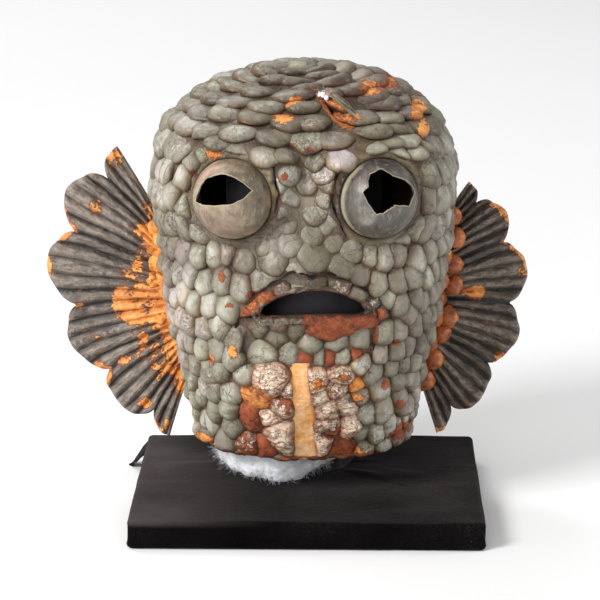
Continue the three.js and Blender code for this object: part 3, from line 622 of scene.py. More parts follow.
def scale_bounds(middle, across, down, half, directions):
    """How far each scale reaches in each direction of its tangent plane: a soft minimum of the distances to
    the lines halfway to its nearest neighbours, to the openings' edges and to an oval of its own size."""
    sharpness = 9
    gap = middle[None] - middle[:, None]
    nearest = np.argsort(np.linalg.norm(gap, axis=2), axis=1)[:, 1:15]
    to = np.take_along_axis(gap, nearest[..., None], axis=1)
    total = 0
    for k in range(nearest.shape[1]):
        u, v = np.sum(to[:, k] * across, axis=1), np.sum(to[:, k] * down, axis=1)
        own = 1 / np.maximum(np.hypot(u / half[:, 0], v / half[:, 1]), 1e-3)
        other = half[nearest[:, k]]
        theirs = 1 / np.maximum(np.hypot(u / other[:, 0], v / other[:, 1]), 1e-3)
        border = np.maximum(np.hypot(u, v), 4) * own / (own + theirs)
        toward = np.cos(directions - np.arctan2(v, u)[:, None])
        total = total + (np.maximum(toward, 0) / border[:, None]) ** sharpness
    for fence in FENCES:
        here = fence(middle)
        u, v = here - fence(middle + across), here - fence(middle + down)
        slope = np.maximum(np.hypot(u, v), 0.2)
        toward = np.cos(directions - np.arctan2(v, u)[:, None])
        room = np.maximum(here / slope, 2.5)[:, None]
        total = total + np.where(here[:, None] < 60, (np.maximum(toward, 0) / room) ** sharpness, 0)
    oval = np.hypot(np.cos(directions) / half[:, :1], np.sin(directions) / half[:, 1:2]) / 1.6
    return (total + oval**sharpness) ** (-1 / sharpness)


def chart(angle, length, speed, stretch, u, v):
    """Angles and lengths at offsets round and down the head from each scale's middle. Near the pole the
    offsets are laid out on the plane seen from above, where length is the distance from the pole."""
    wide = (slice(None), None, None)
    plain_angle = angle[wide] + u / speed[wide]
    plain_length = length[wide] + v / stretch[wide]
    ease = np.maximum(speed / np.maximum(length, 1), 0.3)
    s, c = np.sin(angle)[wide], np.cos(angle)[wide]
    x = (length[wide] + v) * s + u / ease[wide] * c
    y = -(length[wide] + v) * c + u / ease[wide] * s
    crown = (length < CROWN_CHART)[wide]
    return np.where(crown, np.arctan2(x, -y), plain_angle), np.where(crown, np.hypot(x, y), plain_length)


def scale_bodies(angle, length, chosen, around, rings, random):
    """The chosen scales, and what their finish needs to know. Over a polar grid of rings and directions, a
    scale is a pillow of height (1 - ring ** flatness) ** 0.5 at a level of its own, tilted so that its tip
    stands out, with lumps, and it ends in a foot below the skin. Worn pale, it folds where a noise passes
    through 0, and its height look is lowered in the folds for painted shade there. The finish paints shade
    where the height look is low: it is raised at a scale's upper edge, so that the painted shadow lies below
    its tip, raised on the snout for less, and lowered by a crack for more."""
    middle = skin(angle, length)
    across, down, _, speed, stretch = tangents(angle, length)
    traits = scale_traits(middle, angle)
    own_set = np.zeros((len(angle), 4))
    own_set[:, 0] = random.uniform(0, 1, len(angle))
    own_set[:, 3] = -1
    traits[: len(SET_SCALES), 0:3] = SET_SCALES[:, 2:5]
    traits[: len(SET_SCALES), 4:] = 0
    own_set[: len(SET_SCALES)] = SET_SCALES[:, 5:]
    traits[:, 2] *= random.uniform(0.78, 1.2, len(angle))
    lean = random.normal(0, 0.28, len(angle)) - SCALE_FLOW * np.sin(angle)
    level = np.clip(random.normal(0, 0.8, len(angle)), -1.4, 1.4)
    directions = np.broadcast_to(turns(around), (len(angle), around))
    reach = scale_bounds(middle, across, down, traits[:, :2], directions)[chosen] * SCALE_OVERLAP

    directions, traits, lean, own_set = directions[chosen], traits[chosen], lean[chosen], own_set[chosen]
    c, s = np.cos(directions), np.sin(directions)
    level = np.minimum(traits[:, 2] / 6, 1) * level[chosen]
    half, rise, flatness, tip, tilt, loose = traits[:, :2], *traits[:, 2:].T
    kind = zone_weights(middle[chosen], angle[chosen])
    loose = (loose * smoothstep(5, 14, clearance(middle[chosen])))[:, None]
    free = (1 + LOOSE_REACH * loose) / np.hypot(c / half[:, :1], s / half[:, 1:])
    reach += loose * (free - reach)
    reach *= 1 + tip[:, None] * np.maximum(np.sin(directions - lean[:, None]), 0) ** 1.5
    spoke = columns_of(c, s, 9.0 * np.flatnonzero(chosen)[:, None])
    reach *= 1 + layered(spoke, (0.1, 0.7, 3), (0.04, 0.3, 4))
    wide = (slice(None), None, None)
    ring = rings[None, :, None]
    u, v = ring * (reach * c)[:, None], ring * (reach * s)[:, None]
    height = (1 - ring ** flatness[wide]) ** 0.5 + 0 * u
    outward = (v * np.cos(lean)[wide] - u * np.sin(lean)[wide]) / half[:, 1][wide]
    lift = rise[wide] * height - SCALE_SINK + level[wide]
    lift += tilt[wide] * np.clip(outward, -1.3, 1.3) * (1 - 0.4 * ring**4)
    place = chart(angle[chosen], length[chosen], speed[chosen], stretch[chosen], u, v)
    rough = skin(*place)
    apart = rough + columns_of(40.0 * np.flatnonzero(chosen), 0, 0)[:, None, None]
    lumps = layered(apart, (1.4, 12, 5), (0.7, 5, 6))
    creased = own_set[:, 1][wide]
    folds = 0
    for share, size, seed in WRINKLES:
        folds = folds + share * smoothstep(0.22, 0.02, np.abs(noise(rough * [0.8, 1, 1.6], size, seed)))
    lumps = lumps + creased * (1.3 * noise(rough, 8, 10) + 0.9 - 1.8 * folds)
    lift = lift + lumps * np.minimum(rise[wide] / 6, 1) * height**0.5
    # Painted shade in the valleys of the folds
    height = height * (1 - 0.75 * creased * np.minimum(folds, 1))
    top = skin(*place, lift)
    foot = skin(place[0][:, -1:], place[1][:, -1:], lift[:, -1:] - SCALE_FOOT)
    foot += 0.12 * (middle[chosen][:, None, None] - foot)
    grid = np.concatenate([top, foot], axis=1)
    # Painted shadow: the upper edges are raised, so the finish's shade falls below the tips
    height = height ** (1 - 0.55 * np.maximum(-s, 0)[:, None])
    height = np.concatenate([height, 0 * height[:, :1]], axis=1)
    # Less painted shade in the snout's creases, and more by a crack
    shallow = 0.35 * kind[:, 3][wide]
    height = (height + (1 - height) * shallow) * smoothstep(-0.5, 1.5, off_cracks(grid))
    bare, fresh = wear(grid)
    own_tone, own_pale, own_bare, own_fresh = (column[wide] for column in own_set.T)
    rim = smoothstep(84, RIM_HEIGHT, grid[..., 2]) * smoothstep(-0.2, 0.3, noise(grid, 22, 12))
    return closed(
        grid, height=height, tone=own_tone - darker_paint_and_painted_shade(grid), pale=own_pale,
        bare=np.maximum(np.maximum(bare, own_bare), 0.8 * rim),
        fresh=np.where(own_fresh < 0, fresh, own_fresh),
    )


def darker_paint_and_painted_shade(point):
    """How much darker the paint is made over the crown, on the snout and high on the mask's right cheek, with
    painted shade on the side turned from the main light: across the crown towards the mask's left, and down
    its left cheek.
    """
    x, y, z = np.moveaxis(point, -1, 0)
    # Darker over the crown, and more so towards the mask's left as painted shade
    crown = smoothstep(378, 420, z) * (0.65 + 0.4 * smoothstep(-40, 60, x))
    snout = smoothstep(80, 52, np.abs(x)) * smoothstep(252, 268, z) * smoothstep(345, 325, z) * (y < 0)
    cheek = smoothstep(-45, -75, x) * smoothstep(245, 270, z) * smoothstep(335, 310, z) * (y < 0)
    # Painted shade down the mask's left cheek, which is turned from the main light
    other = smoothstep(55, 100, x) * smoothstep(100, 170, z) * smoothstep(400, 370, z) * (y < 20)
    return crown + 1.0 * snout + 0.65 * cheek + 0.6 * other


def wear(point):
    """How bare a place is, 0.5 being the edge of a worn spot, and how fresh its orange is."""
    spots = np.array(BARE_SPOTS)
    distance = np.stack([
        np.hypot((point[..., 0] - x) / across, (point[..., 2] - z) / up) for x, z, across, up, _ in spots
    ])
    closest = np.argmin(distance, axis=0)
    bare = np.where(point[..., 1] < 20, 1 - 0.5 * distance.min(axis=0), 0)
    fresh = spots[closest, 4]
    for start, end, reach in RED_CRACKS:
        bare = np.maximum(bare, 1 - 0.5 * off_line(point, [start, end], [0, 1, 2]) / reach)
    bare = np.maximum(bare, 0.9 - 0.08 * off_tear(point))
    return np.clip(bare, 0, 1), fresh


def closed(grid, **looks):
    """Closed bodies from grids of points, one or many, whose columns go round: quads between the rows, and
    fans to the middles of the first and last rows. Looks are numbers for each point of the grid."""
    *_, rows, columns, _ = grid.shape
    bodies = grid.reshape(-1, rows, columns, 3)
    count, size = len(bodies), rows * columns + 2
    points = np.concatenate(
        [bodies.reshape(count, -1, 3), bodies[:, :1].mean(axis=2), bodies[:, -1:].mean(axis=2)], axis=1
    )
    made = {}
    for key, values in looks.items():
        values = np.broadcast_to(values, grid.shape[:-1]).reshape(count, rows, columns)
        ends = [values[:, :1].mean(axis=2), values[:, -1:].mean(axis=2)]
        made[key] = np.concatenate([values.reshape(count, -1), *ends], axis=1)
    i = np.arange(columns)
    j = (i + 1) % columns
    last = (rows - 1) * columns
    fans = np.concatenate([
        np.stack([0 * i + size - 2, i, j], 1), np.stack([0 * i + size - 1, last + j, last + i], 1),
    ])
    shift = size * np.arange(count)[:, None, None]
    faces = [(part + shift).reshape(-1, part.shape[1]) for part in (grid_faces(rows, columns, True), fans)]
    return points, faces, made


def plate(front, back, **looks):
    """A closed plate between a front grid of points and a back one, joined round their edges."""
    rows, columns = front.shape[:2]
    count = rows * columns
    quads = grid_faces(rows, columns)
    top = np.arange(columns)
    left = np.arange(rows) * columns
    ring = np.concatenate([top[::-1], left[1:], top[1:] + left[-1], (left + columns - 1)[::-1][1:-1]])
    after = np.roll(ring, -1)
    band = np.stack([after, ring, ring + count, after + count], 1)
    made = {key: np.tile(np.broadcast_to(look, front.shape[:2]).ravel(), 2) for key, look in looks.items()}
    points = np.concatenate([front.reshape(-1, 3), back.reshape(-1, 3)])
    return points, [quads, quads[:, ::-1] + count, band], made


def walled(outer, inner, faces, cut, **looks):
    """A wall between two surfaces with the same faces, without the cut ones, joined round every edge that
    this leaves open."""
    count = len(outer)
    kept = [part[~gone] for part, gone in zip(faces, cut)]
    edges = np.concatenate([
        np.stack([part[:, k], part[:, (k + 1) % part.shape[1]]], 1)
        for part in kept
        for k in range(part.shape[1])
    ])
    keys = edges[:, 0] * count + edges[:, 1]
    a, b = edges[~np.isin(keys, edges[:, 1] * count + edges[:, 0])].T
    band = np.stack([b, a, a + count, b + count], 1)
    made = {key: np.tile(values, 2) for key, values in looks.items()}
    return np.concatenate([outer, inner]), [*kept, *(part[:, ::-1] + count for part in kept), band], made


def grid_faces(rows, columns, wrapped=False):
    """The quads of a grid of points in rows, going round if it is wrapped."""
    i, j = np.meshgrid(np.arange(rows - 1), np.arange(columns if wrapped else columns - 1), indexing="ij")
    k = (j + 1) % columns
    quads = np.stack([i * columns + j, (i + 1) * columns + j, (i + 1) * columns + k, i * columns + k], -1)
    return quads.reshape(-1, 4)


def bowl_faces(rows, columns):
    """The faces of a grid that goes round, closed at its first row by a fan to one more point."""
    i = np.arange(columns)
    return [grid_faces(rows, columns, True), np.stack([0 * i + rows * columns, i, (i + 1) % columns], 1)]


def placed(points):
    """From millimetres about the head's axis to metres in the frame: turned with the head, then moved."""
    x, y, z = np.moveaxis(np.asarray(points, float), -1, 0)
    c, s = math.cos(HEAD_TURN), math.sin(HEAD_TURN)
    moved = columns_of(
        BOARD_MIDDLE[0] + HEAD_SHIFT + x * c - y * s, BOARD_MIDDLE[1] + HEAD_SETBACK + x * s + y * c, z
    )
    return moved / 1000


def volume(points, faces):
    """Six times the volume inside a closed surface, negative if the surface is inside out."""
    total = 0
    for part in faces:
        corners = points[part]
        for k in range(1, part.shape[1] - 1):
            total += np.sum(corners[:, 0] * np.cross(corners[:, k], corners[:, k + 1]))
    return total


def piece(name, shape, finish, slot, *nodes, on_head=True):
    """A smooth mesh object with its faces outwards, riding on the only body."""
    points, faces, looks = shape
    points = points.reshape(-1, 3)
    points = placed(points) if on_head else points / 1000
    if volume(points, faces) < 0:
        faces = [part[:, ::-1] for part in faces]
    mesh = bpy.data.meshes.new(name)
    mesh.from_pydata(points.tolist(), [], [face for part in faces for face in part.tolist()])
    mesh.polygons.foreach_set("use_smooth", np.ones(len(mesh.polygons), bool))
    for key, values in looks.items():
        layer = mesh.attributes.new(key, "FLOAT", "POINT")
        layer.data.foreach_set("value", np.asarray(values, np.float32).ravel())
    mesh.materials.append(finish)
    obj = bpy.data.objects.new(name, mesh)
    bpy.context.scene.collection.objects.link(obj)
    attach(obj, "root")
    if nodes:
        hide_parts(*nodes)
    return obj


class Value:
    """A socket of a finish, with arithmetic that adds Math nodes to it."""

    def __init__(self, finish, socket):
        self.finish, self.socket = finish, socket

    def math(self, operation, *others):
        return self.finish.node("ShaderNodeMath", {"operation": operation}, dict(enumerate([self, *others])))

    def __add__(self, other):
        return self.math("ADD", other)

    def __sub__(self, other):
        return self.math("SUBTRACT", other)

    def __rsub__(self, other):
        return self.math("MULTIPLY_ADD", -1.0, other)

    def __mul__(self, other):
        return self.math("MULTIPLY", other)

    __radd__, __rmul__ = __add__, __mul__

    def over(self, low, high):
        """0 below low, 1 above high, smooth between, or falling where low is the greater."""
        inputs = {"Value": self, "From Min": low, "From Max": high}
        return self.finish.node("ShaderNodeMapRange", {"interpolation_type": "SMOOTHSTEP"}, inputs)

    def lines(self, width):
        """0 on the lines where the value is 0.5, and 1 away from them."""
        return (self - 0.5).math("ABSOLUTE").over(0.0, width)


class Finish:
    """A material: a Principled shader, and one method that adds any node to it."""

    def __init__(self, name, **constants):
        self.material = bpy.data.materials.new(name)
        self.material.use_nodes = True
        self.tree = self.material.node_tree
        self.tree.nodes.clear()
        self.shader = self.tree.nodes.new("ShaderNodeBsdfPrincipled")
        output = self.tree.nodes.new("ShaderNodeOutputMaterial")
        self.tree.links.new(self.shader.outputs["BSDF"], output.inputs["Surface"])
        self.feed(self.shader, {key.replace("_", " "): value for key, value in constants.items()})
        self.object = self.node("ShaderNodeTexCoord", output="Object")

    def feed(self, node, inputs):
        for key, value in inputs.items():
            if isinstance(value, Value):
                self.tree.links.new(value.socket, node.inputs[key])
            else:
                node.inputs[key].default_value = value

    def node(self, kind, settings=None, inputs=None, output=0):
        made = self.tree.nodes.new(kind)
        for key, value in (settings or {}).items():
            if key == "stops":
                ramp = made.color_ramp
                while len(ramp.elements) < len(value):
                    ramp.elements.new(0.5)
                for element, (position, colour) in zip(ramp.elements, value):
                    element.position = position
                    element.color = (*colour, 1)
            else:
                setattr(made, key, value)
        self.feed(made, inputs or {})
        return Value(self, made.outputs[output])

    def attribute(self, name):
        return self.node("ShaderNodeAttribute", {"attribute_name": name}, output="Fac")

    def along(self, axis):
        """The Object coordinate along X, Y or Z."""
        return self.node("ShaderNodeSeparateXYZ", {}, {0: self.object}, axis)

    def stretched(self, scale):
        """Object coordinates stretched by a factor along each axis."""
        return self.node("ShaderNodeVectorMath", {"operation": "MULTIPLY"}, {0: self.object, 1: scale})

    def noise(self, size, detail=3.0, roughness=0.55, vector=None, distortion=0.0):
        """Noise with features of about the given size in millimetres."""
        inputs = {"Scale": 500 / size, "Detail": detail, "Roughness": roughness, "Distortion": distortion}
        return self.node("ShaderNodeTexNoise", {}, {"Vector": vector or self.object, **inputs})

    def cells(self, size):
        """Distance to the nearest of scattered dots, in units of the given spacing in millimetres."""
        inputs = {"Vector": self.object, "Scale": 1000 / size}
        return self.node("ShaderNodeTexVoronoi", {}, inputs, "Distance")

    def ramp(self, value, *stops):
        return self.node("ShaderNodeValToRGB", {"stops": stops}, {0: value})

    def mix(self, share, a, b, blend="MIX"):
        inputs = {0: share}
        for key, colour in ((6, a), (7, b)):
            inputs[key] = colour if isinstance(colour, Value) else (*colour, 1)
        return self.node("ShaderNodeMix", {"data_type": "RGBA", "blend_type": blend}, inputs, 2)

    def tinted(self, share, colour, tint):
        """A colour multiplied by a tint where the share is 1."""
        return self.mix(share, colour, tint, "MULTIPLY")

    def bump(self, height, distance, normal=None):
        """A bump of the given depth in millimetres."""
        inputs = {"Height": height, "Distance": distance / 1000, "Strength": 1.0}
        if normal:
            inputs["Normal"] = normal
        return self.node("ShaderNodeBump", {}, inputs)

    def done(self, **inputs):
        self.feed(self.shader, {key.replace("_", " "): value for key, value in inputs.items()})
        return self.material


def painted_latex():
    """Pearly grey paint over foam latex, leaning to green, pink and lavender, black in fine cracks, worn to
    cream or down to the orange foam. Low in the creases it is warm brown and darker as painted shade, near
    black in patches at their bottoms as painted shadow, and pale on the tops of the scales as painted
    highlight."""
    f = Finish("painted_latex", Specular_IOR_Level=0.5, Coat_Roughness=0.28)
    height, tone = f.attribute("height"), f.attribute("tone")
    bare, pale, fresh = f.attribute("bare"), f.attribute("pale"), f.attribute("fresh")
    broad, mottle, fine = f.noise(62, 3), f.noise(13, 5, 0.65), f.noise(2.4, 4, 0.68)
    grain = f.noise(0.9, 3, 0.7)
    streaks = f.noise(5, 4, 0.65, f.stretched((1.0, 1.0, 0.35)), 0.8)
    ragged = 1.0 * mottle + 1.1 * fine - 1.05
    # The height look darkens the creases as painted shade and lightens the tops of the scales as painted
    # highlight; the tone look carries painted shade too, on the side turned from the main light.
    coat = 0.52 * height + 0.35 * broad + 0.35 * mottle + 0.3 * streaks + 0.15 * tone - 0.12
    paint = f.ramp(
        coat,
        (0.53, (0.065, 0.041, 0.024)), (0.68, (0.135, 0.106, 0.071)), (0.81, (0.21, 0.183, 0.135)),
        (0.93, (0.31, 0.28, 0.22)), (1.04, (0.47, 0.445, 0.385)),
    )
    lean = f.noise(24, 4, 0.6)
    paint = f.tinted(lean.over(0.48, 0.68), paint, (0.95, 1.0, 0.88))
    paint = f.tinted(lean.over(0.5, 0.34), paint, (1.05, 0.96, 0.93))
    paint = f.tinted(f.noise(36, 3).over(0.54, 0.7), paint, (1.0, 0.93, 1.08))
    paint = f.tinted(height.over(0.95, 0.55) * f.noise(30, 3).over(0.45, 0.6), paint, (1.0, 0.87, 0.6))
    crackle = f.noise(3.2, 3, 0.6, None, 0.6).lines(0.05)
    worn = f.noise(28, 3).over(0.5, 0.62)
    paint = f.mix((1 - crackle) * worn * 0.5, paint, (0.12, 0.085, 0.06))
    # The cream is darker low down and in the valleys of its folds as painted shade.
    cream = f.ramp(
        0.4 * height + 0.35 * mottle + 0.25 * fine,
        (0.42, (0.29, 0.10, 0.05)), (0.55, (0.5, 0.31, 0.2)), (0.66, (0.72, 0.56, 0.42)),
        (0.76, (0.93, 0.85, 0.7)),
    )
    folds = f.noise(6, 3, 0.6, f.stretched((0.8, 0.8, 1.3)), 0.8).lines(0.035)
    cream = f.mix((1 - folds) * 0.85, cream, (0.13, 0.055, 0.03))
    paint = f.mix((pale + ragged).over(0.45, 0.6), paint, cream)
    foam = 0.3 * height + 0.4 * mottle + 0.3 * fine
    rust = f.ramp(
        foam, (0.40, (0.06, 0.016, 0.008)), (0.54, (0.19, 0.04, 0.013)), (0.68, (0.38, 0.09, 0.024)),
    )
    orange = f.ramp(
        foam, (0.40, (0.34, 0.085, 0.02)), (0.55, (0.72, 0.23, 0.04)), (0.7, (0.88, 0.42, 0.12)),
    )
    foam = f.mix((fresh + 0.6 * ragged).over(0.3, 0.7), rust, orange)
    edge = (bare + ragged).over(0.38, 0.5)
    paint = f.mix(edge, paint, (0.11, 0.04, 0.022))
    matt = (bare + ragged).over(0.5, 0.57)
    paint = f.mix(matt, paint, foam)
    # Painted shade low in the creases, in mottled browns
    painted_crease_shade = f.mix(f.noise(20, 3).over(0.45, 0.62), (0.075, 0.042, 0.024), (0.21, 0.085, 0.036))
    paint = f.mix(height.over(0.62, 0.2) * (0.1 + 1.0 * mottle), paint, painted_crease_shade)
    # Painted shadow, near black, at the bottoms of the creases in patches
    crease_shadow_patches = f.noise(30, 3).over(0.47, 0.6)
    paint = f.mix(height.over(0.3, 0.08) * (0.25 + 0.75 * crease_shadow_patches), paint, (0.02, 0.012, 0.008))
    hairs = f.noise(16, 4, 0.6, None, 0.7).lines(0.012)
    paint = f.mix((1 - hairs) * f.noise(40, 2).over(0.5, 0.62) * 0.8, paint, (0.035, 0.022, 0.015))
    relief = fine + 0.7 * streaks + 0.45 * grain + 0.7 * worn * crackle + 0.6 * hairs
    rough, coated = 0.56 - 0.26 * mottle + 0.3 * matt, 0.24 - 0.24 * matt
    return f.done(Base_Color=paint, Roughness=rough, Coat_Weight=coated, Normal=f.bump(relief, 1.0))


def dark_gap():
    """The shade inside a crack in the latex."""
    f = Finish("dark_gap", Specular_IOR_Level=0.05, Roughness=1.0)
    return f.done(Base_Color=f.mix(f.noise(7, 3).over(0.35, 0.7), (0.006, 0.004, 0.003), (0.05, 0.03, 0.02)))


# The mask's left fin is given the darker colours as painted shade, on the side turned from the main light.
FIN_COLOURS = {
    -1: [(0.38, (0.055, 0.043, 0.034)), (0.5, (0.165, 0.132, 0.105)), (0.62, (0.36, 0.30, 0.25))],
    1: [(0.38, (0.03, 0.022, 0.017)), (0.5, (0.10, 0.075, 0.057)), (0.62, (0.25, 0.2, 0.16))],
}


def fin_latex(side):
    """Dark brown ribbed latex, its paint gone at the root and in patches where orange foam shows. The fine
    lines run along the rays. It is lighter in places on the tops of the cords as painted highlight and near
    black in the grooves as painted shade."""
    f = Finish(f"fin_latex_{SIDE_NAMES[side]}", Specular_IOR_Level=0.5)
    height, bare = f.attribute("height"), f.attribute("bare")
    run = f.node("ShaderNodeCombineXYZ", {}, {0: f.attribute("across"), 1: f.attribute("along")})
    broad, mottle, fine = f.noise(38, 3), f.noise(9, 5, 0.62), f.noise(2.2, 4, 0.65)
    lines = f.node("ShaderNodeTexNoise", {}, {"Vector": run, "Scale": 24.0, "Detail": 3.0, "Distortion": 0.2})
    paint = f.ramp(0.3 * broad + 0.3 * mottle + 0.4 * lines, *FIN_COLOURS[side])
    # Painted highlight on the tops of the cords, and painted shade in the grooves
    paint = f.mix(height.over(0.7, 1.0) * fine.over(0.42, 0.62) * 0.6, paint, (0.36, 0.3, 0.245))
    paint = f.mix(height.over(0.72, 0.34), paint, (0.01, 0.0065, 0.005))
    foam = f.ramp(
        0.45 * mottle + 0.35 * fine + 0.2 * height,
        (0.38, (0.22, 0.05, 0.012)), (0.5, (0.56, 0.17, 0.03)), (0.6, (0.80, 0.33, 0.075)),
        (0.7, (0.88, 0.46, 0.15)),
    )
    worn = bare + 1.3 * mottle + 0.8 * fine - 1.05
    paint = f.mix(worn.over(0.36, 0.5), paint, (0.12, 0.036, 0.015))
    paint = f.mix(worn.over(0.5, 0.56), paint, foam)
    relief = f.bump(fine + 0.6 * mottle + 1.2 * lines, 1.6)
    return f.done(Base_Color=paint, Roughness=0.5 - 0.24 * mottle, Normal=relief)


def raw_foam():
    """Torn orange latex foam: crumbs and pores, browner and darker in its hollows as painted shade."""
    f = Finish("raw_foam", Specular_IOR_Level=0.3)
    height = f.attribute("height")
    mottle, fine = f.noise(8, 5, 0.65), f.noise(1.8, 4, 0.7)
    foam = f.ramp(
        0.5 * mottle + 0.3 * fine + 0.2 * height,
        (0.34, (0.22, 0.05, 0.012)), (0.46, (0.54, 0.17, 0.03)), (0.57, (0.80, 0.33, 0.08)),
        (0.7, (0.90, 0.50, 0.2)),
    )
    # Painted shade in the hollows
    foam = f.mix(height.over(0.45, 0.1) * 0.85, foam, (0.09, 0.028, 0.012))
    relief = f.bump(mottle + 0.9 * fine + 0.5 * f.noise(0.8, 2), 1.4)
    return f.done(Base_Color=foam, Roughness=0.8, Normal=relief)


def strip_foam():
    """The chin's bare strip: pale orange foam with fine wrinkles across it, a darker line at its edges."""
    f = Finish("strip_foam", Specular_IOR_Level=0.35)
    height, edge = f.attribute("height"), f.attribute("edge")
    mottle, fine = f.noise(9, 4, 0.6), f.noise(1.8, 4, 0.7)
    foam = f.ramp(
        0.5 * mottle + 0.3 * fine + 0.2 * height,
        (0.34, (0.62, 0.22, 0.05)), (0.46, (0.80, 0.37, 0.11)), (0.58, (0.88, 0.52, 0.26)),
        (0.7, (0.9, 0.64, 0.42)),
    )
    foam = f.mix(edge.over(0.55, 1.0) * 0.8, foam, (0.42, 0.13, 0.03))
    wrinkles = f.noise(3, 3, 0.6, f.stretched((0.4, 0.4, 1.4)), 1.0)
    return f.done(Base_Color=foam, Roughness=0.62, Normal=f.bump(wrinkles + 0.4 * fine, 1.3))


def roe_latex():
    """Rust-brown painted lumps with a shine, worn to orange on top."""
    f = Finish("roe_latex", Specular_IOR_Level=0.6)
    height = f.attribute("height")
    mottle, fine = f.noise(7, 4, 0.6), f.noise(1.6, 4, 0.7)
    paint = f.ramp(
        0.5 * mottle + 0.3 * fine + 0.2 * height,
        (0.34, (0.05, 0.018, 0.01)), (0.46, (0.30, 0.07, 0.018)), (0.57, (0.56, 0.165, 0.035)),
        (0.7, (0.78, 0.33, 0.09)),
    )
    return f.done(Base_Color=paint, Roughness=0.36 - 0.15 * mottle, Normal=f.bump(fine + mottle, 0.8))


DOME_COLOURS = {
    -1: [
        (0.36, (0.075, 0.055, 0.032)), (0.46, (0.19, 0.145, 0.09)), (0.54, (0.31, 0.24, 0.165)),
        (0.64, (0.46, 0.37, 0.29)),
    ],
    1: [
        (0.36, (0.02, 0.0165, 0.012)), (0.46, (0.05, 0.043, 0.034)), (0.54, (0.088, 0.08, 0.067)),
        (0.64, (0.21, 0.187, 0.152)),
    ],
}


def horn_plastic(side):
    """Horn-coloured plastic: cloudy silver-grey, beige and pink, yellow at its broken edges and, as a painted
    highlight, round its rim on the side toward the main light, scratched, dirty and pierced. The one on the
    mask's left is the darker and greyer."""
    f = Finish(f"horn_plastic_{SIDE_NAMES[side]}", Specular_IOR_Level=0.7, IOR=1.5, Coat_Roughness=0.25)
    edge = f.attribute("edge")
    cloud, mottle, fine = f.noise(26, 3, 0.5, None, 0.6), f.noise(7, 5, 0.65), f.noise(1.4, 3, 0.7)
    scratches = f.noise(2.2, 3, 0.7, f.stretched((1.0, 1.0, 0.12)), 0.4)
    body = f.ramp(0.55 * cloud + 0.45 * mottle, *DOME_COLOURS[side])
    body = f.tinted(f.noise(20, 3).over(0.5, 0.62), body, (1.08, 0.88, 0.84))
    body = f.mix(scratches.over(0.54, 0.68) * 0.4, body, (0.42, 0.38, 0.31))
    body = f.mix(f.noise(11, 5, 0.7).over(0.57, 0.66) * 0.6, body, (0.10, 0.075, 0.05))
    # Yellow at the broken edges, and round the rim toward the main light as painted highlight
    body = f.mix(edge.over(0.45, 1.0) * 0.8, body, (0.50, 0.45, 0.29))
    body = f.mix((edge * -1).over(0.2, 0.9) * 0.4, body, (0.06, 0.04, 0.025))
    specks = f.cells(5).over(0.16, 0.1) * f.noise(18, 2).over(0.52, 0.6)
    body = f.mix(specks * 0.8, body, (0.035, 0.025, 0.02))
    for x, z in NAIL_HOLES[side]:
        depth = math.sqrt(max(0.02, 1 - x * x - z * z))
        hole = placed(EYES[side][0] + EYE_RADIUS * (x * VIEW_ACROSS + z * VIEW_UP + depth * VIEW_BACK))
        near = f.node("ShaderNodeVectorMath", {"operation": "DISTANCE"}, {0: f.object, 1: hole}, "Value")
        body = f.mix((near * 1000).over(1.6, 1.0), body, (0.01, 0.008, 0.006))
    relief = f.bump(0.6 * fine + scratches + mottle, 0.3)
    return f.done(Base_Color=body, Roughness=0.3 + 0.35 * mottle, Coat_Weight=0.15, Normal=relief)


def black_velvet():
    """Black velvet: pile that catches light at a slant, a painted sheen in patches over the left of its top,
    pressed marks and specks of lint.
    """
    f = Finish(
        "black_velvet", Sheen_Weight=0.1, Sheen_Roughness=0.35, Sheen_Tint=(0.85, 0.76, 0.77, 1),
        Roughness=1.0, Specular_IOR_Level=0.04,
    )
    pressed, fine = f.noise(60, 4, 0.6), f.noise(1.1, 3, 0.7)
    pile = f.ramp(
        0.65 * pressed + 0.35 * fine,
        (0.38, (0.0015, 0.0012, 0.0013)), (0.54, (0.0045, 0.0038, 0.004)), (0.68, (0.022, 0.0185, 0.0185)),
    )
    # Painted sheen: lighter towards the left of the top, in patches
    sheen_leftwards, on_top = f.along("X").over(0.0, -0.17), f.along("Z").over(0.022, 0.03)
    sheen_patches = 0.6 * f.noise(24, 2, 0.4) + 0.4 * f.noise(2.2, 3, 0.6)
    pile = f.mix(sheen_leftwards * on_top * (0.3 + sheen_patches), pile, (0.08, 0.068, 0.068))
    lint = f.cells(11).over(0.06, 0.03) * f.noise(60, 2).over(0.5, 0.6)
    pile = f.mix(lint * 0.6, pile, (0.12, 0.115, 0.115))
    return f.done(Base_Color=pile, Normal=f.bump(fine + 0.8 * f.noise(3.5, 3), 0.6))


def black_cloth():
    """Matt black cloth with a fine plain weave, lighter as painted light over the part of it that fills the
    head and shows through its openings, and darker at its foot.
    """
    f = Finish("black_cloth", Sheen_Weight=0.15, Sheen_Roughness=0.5, Roughness=0.92)
    fine, broad = f.noise(0.8, 2), f.noise(35, 3)
    cloth = f.ramp(0.7 * broad + 0.3 * fine, (0.3, (0.065, 0.06, 0.068)), (0.7, (0.15, 0.14, 0.155)))
    # Painted light: the cloth above its foot, inside the head, is lighter
    cloth = f.mix(f.along("Z").over(0.18, 0.09), cloth, (0.02, 0.018, 0.02))
    return f.done(Base_Color=cloth, Normal=f.bump(fine, 0.3))


def white_batting():
    """Loose white polyester batting, faintly blue and darker in its hollows as painted shade."""
    f = Finish("white_batting", Sheen_Weight=1.0, Sheen_Roughness=0.6, Roughness=0.95)
    wool = f.noise(5, 4, 0.65)
    fluff = f.ramp(wool, (0.3, (0.88, 0.91, 0.98)), (0.6, (0.98, 0.98, 1.0)))
    return f.done(Base_Color=fluff, Normal=f.bump(wool + 0.5 * f.noise(1.2, 3), 1.2))


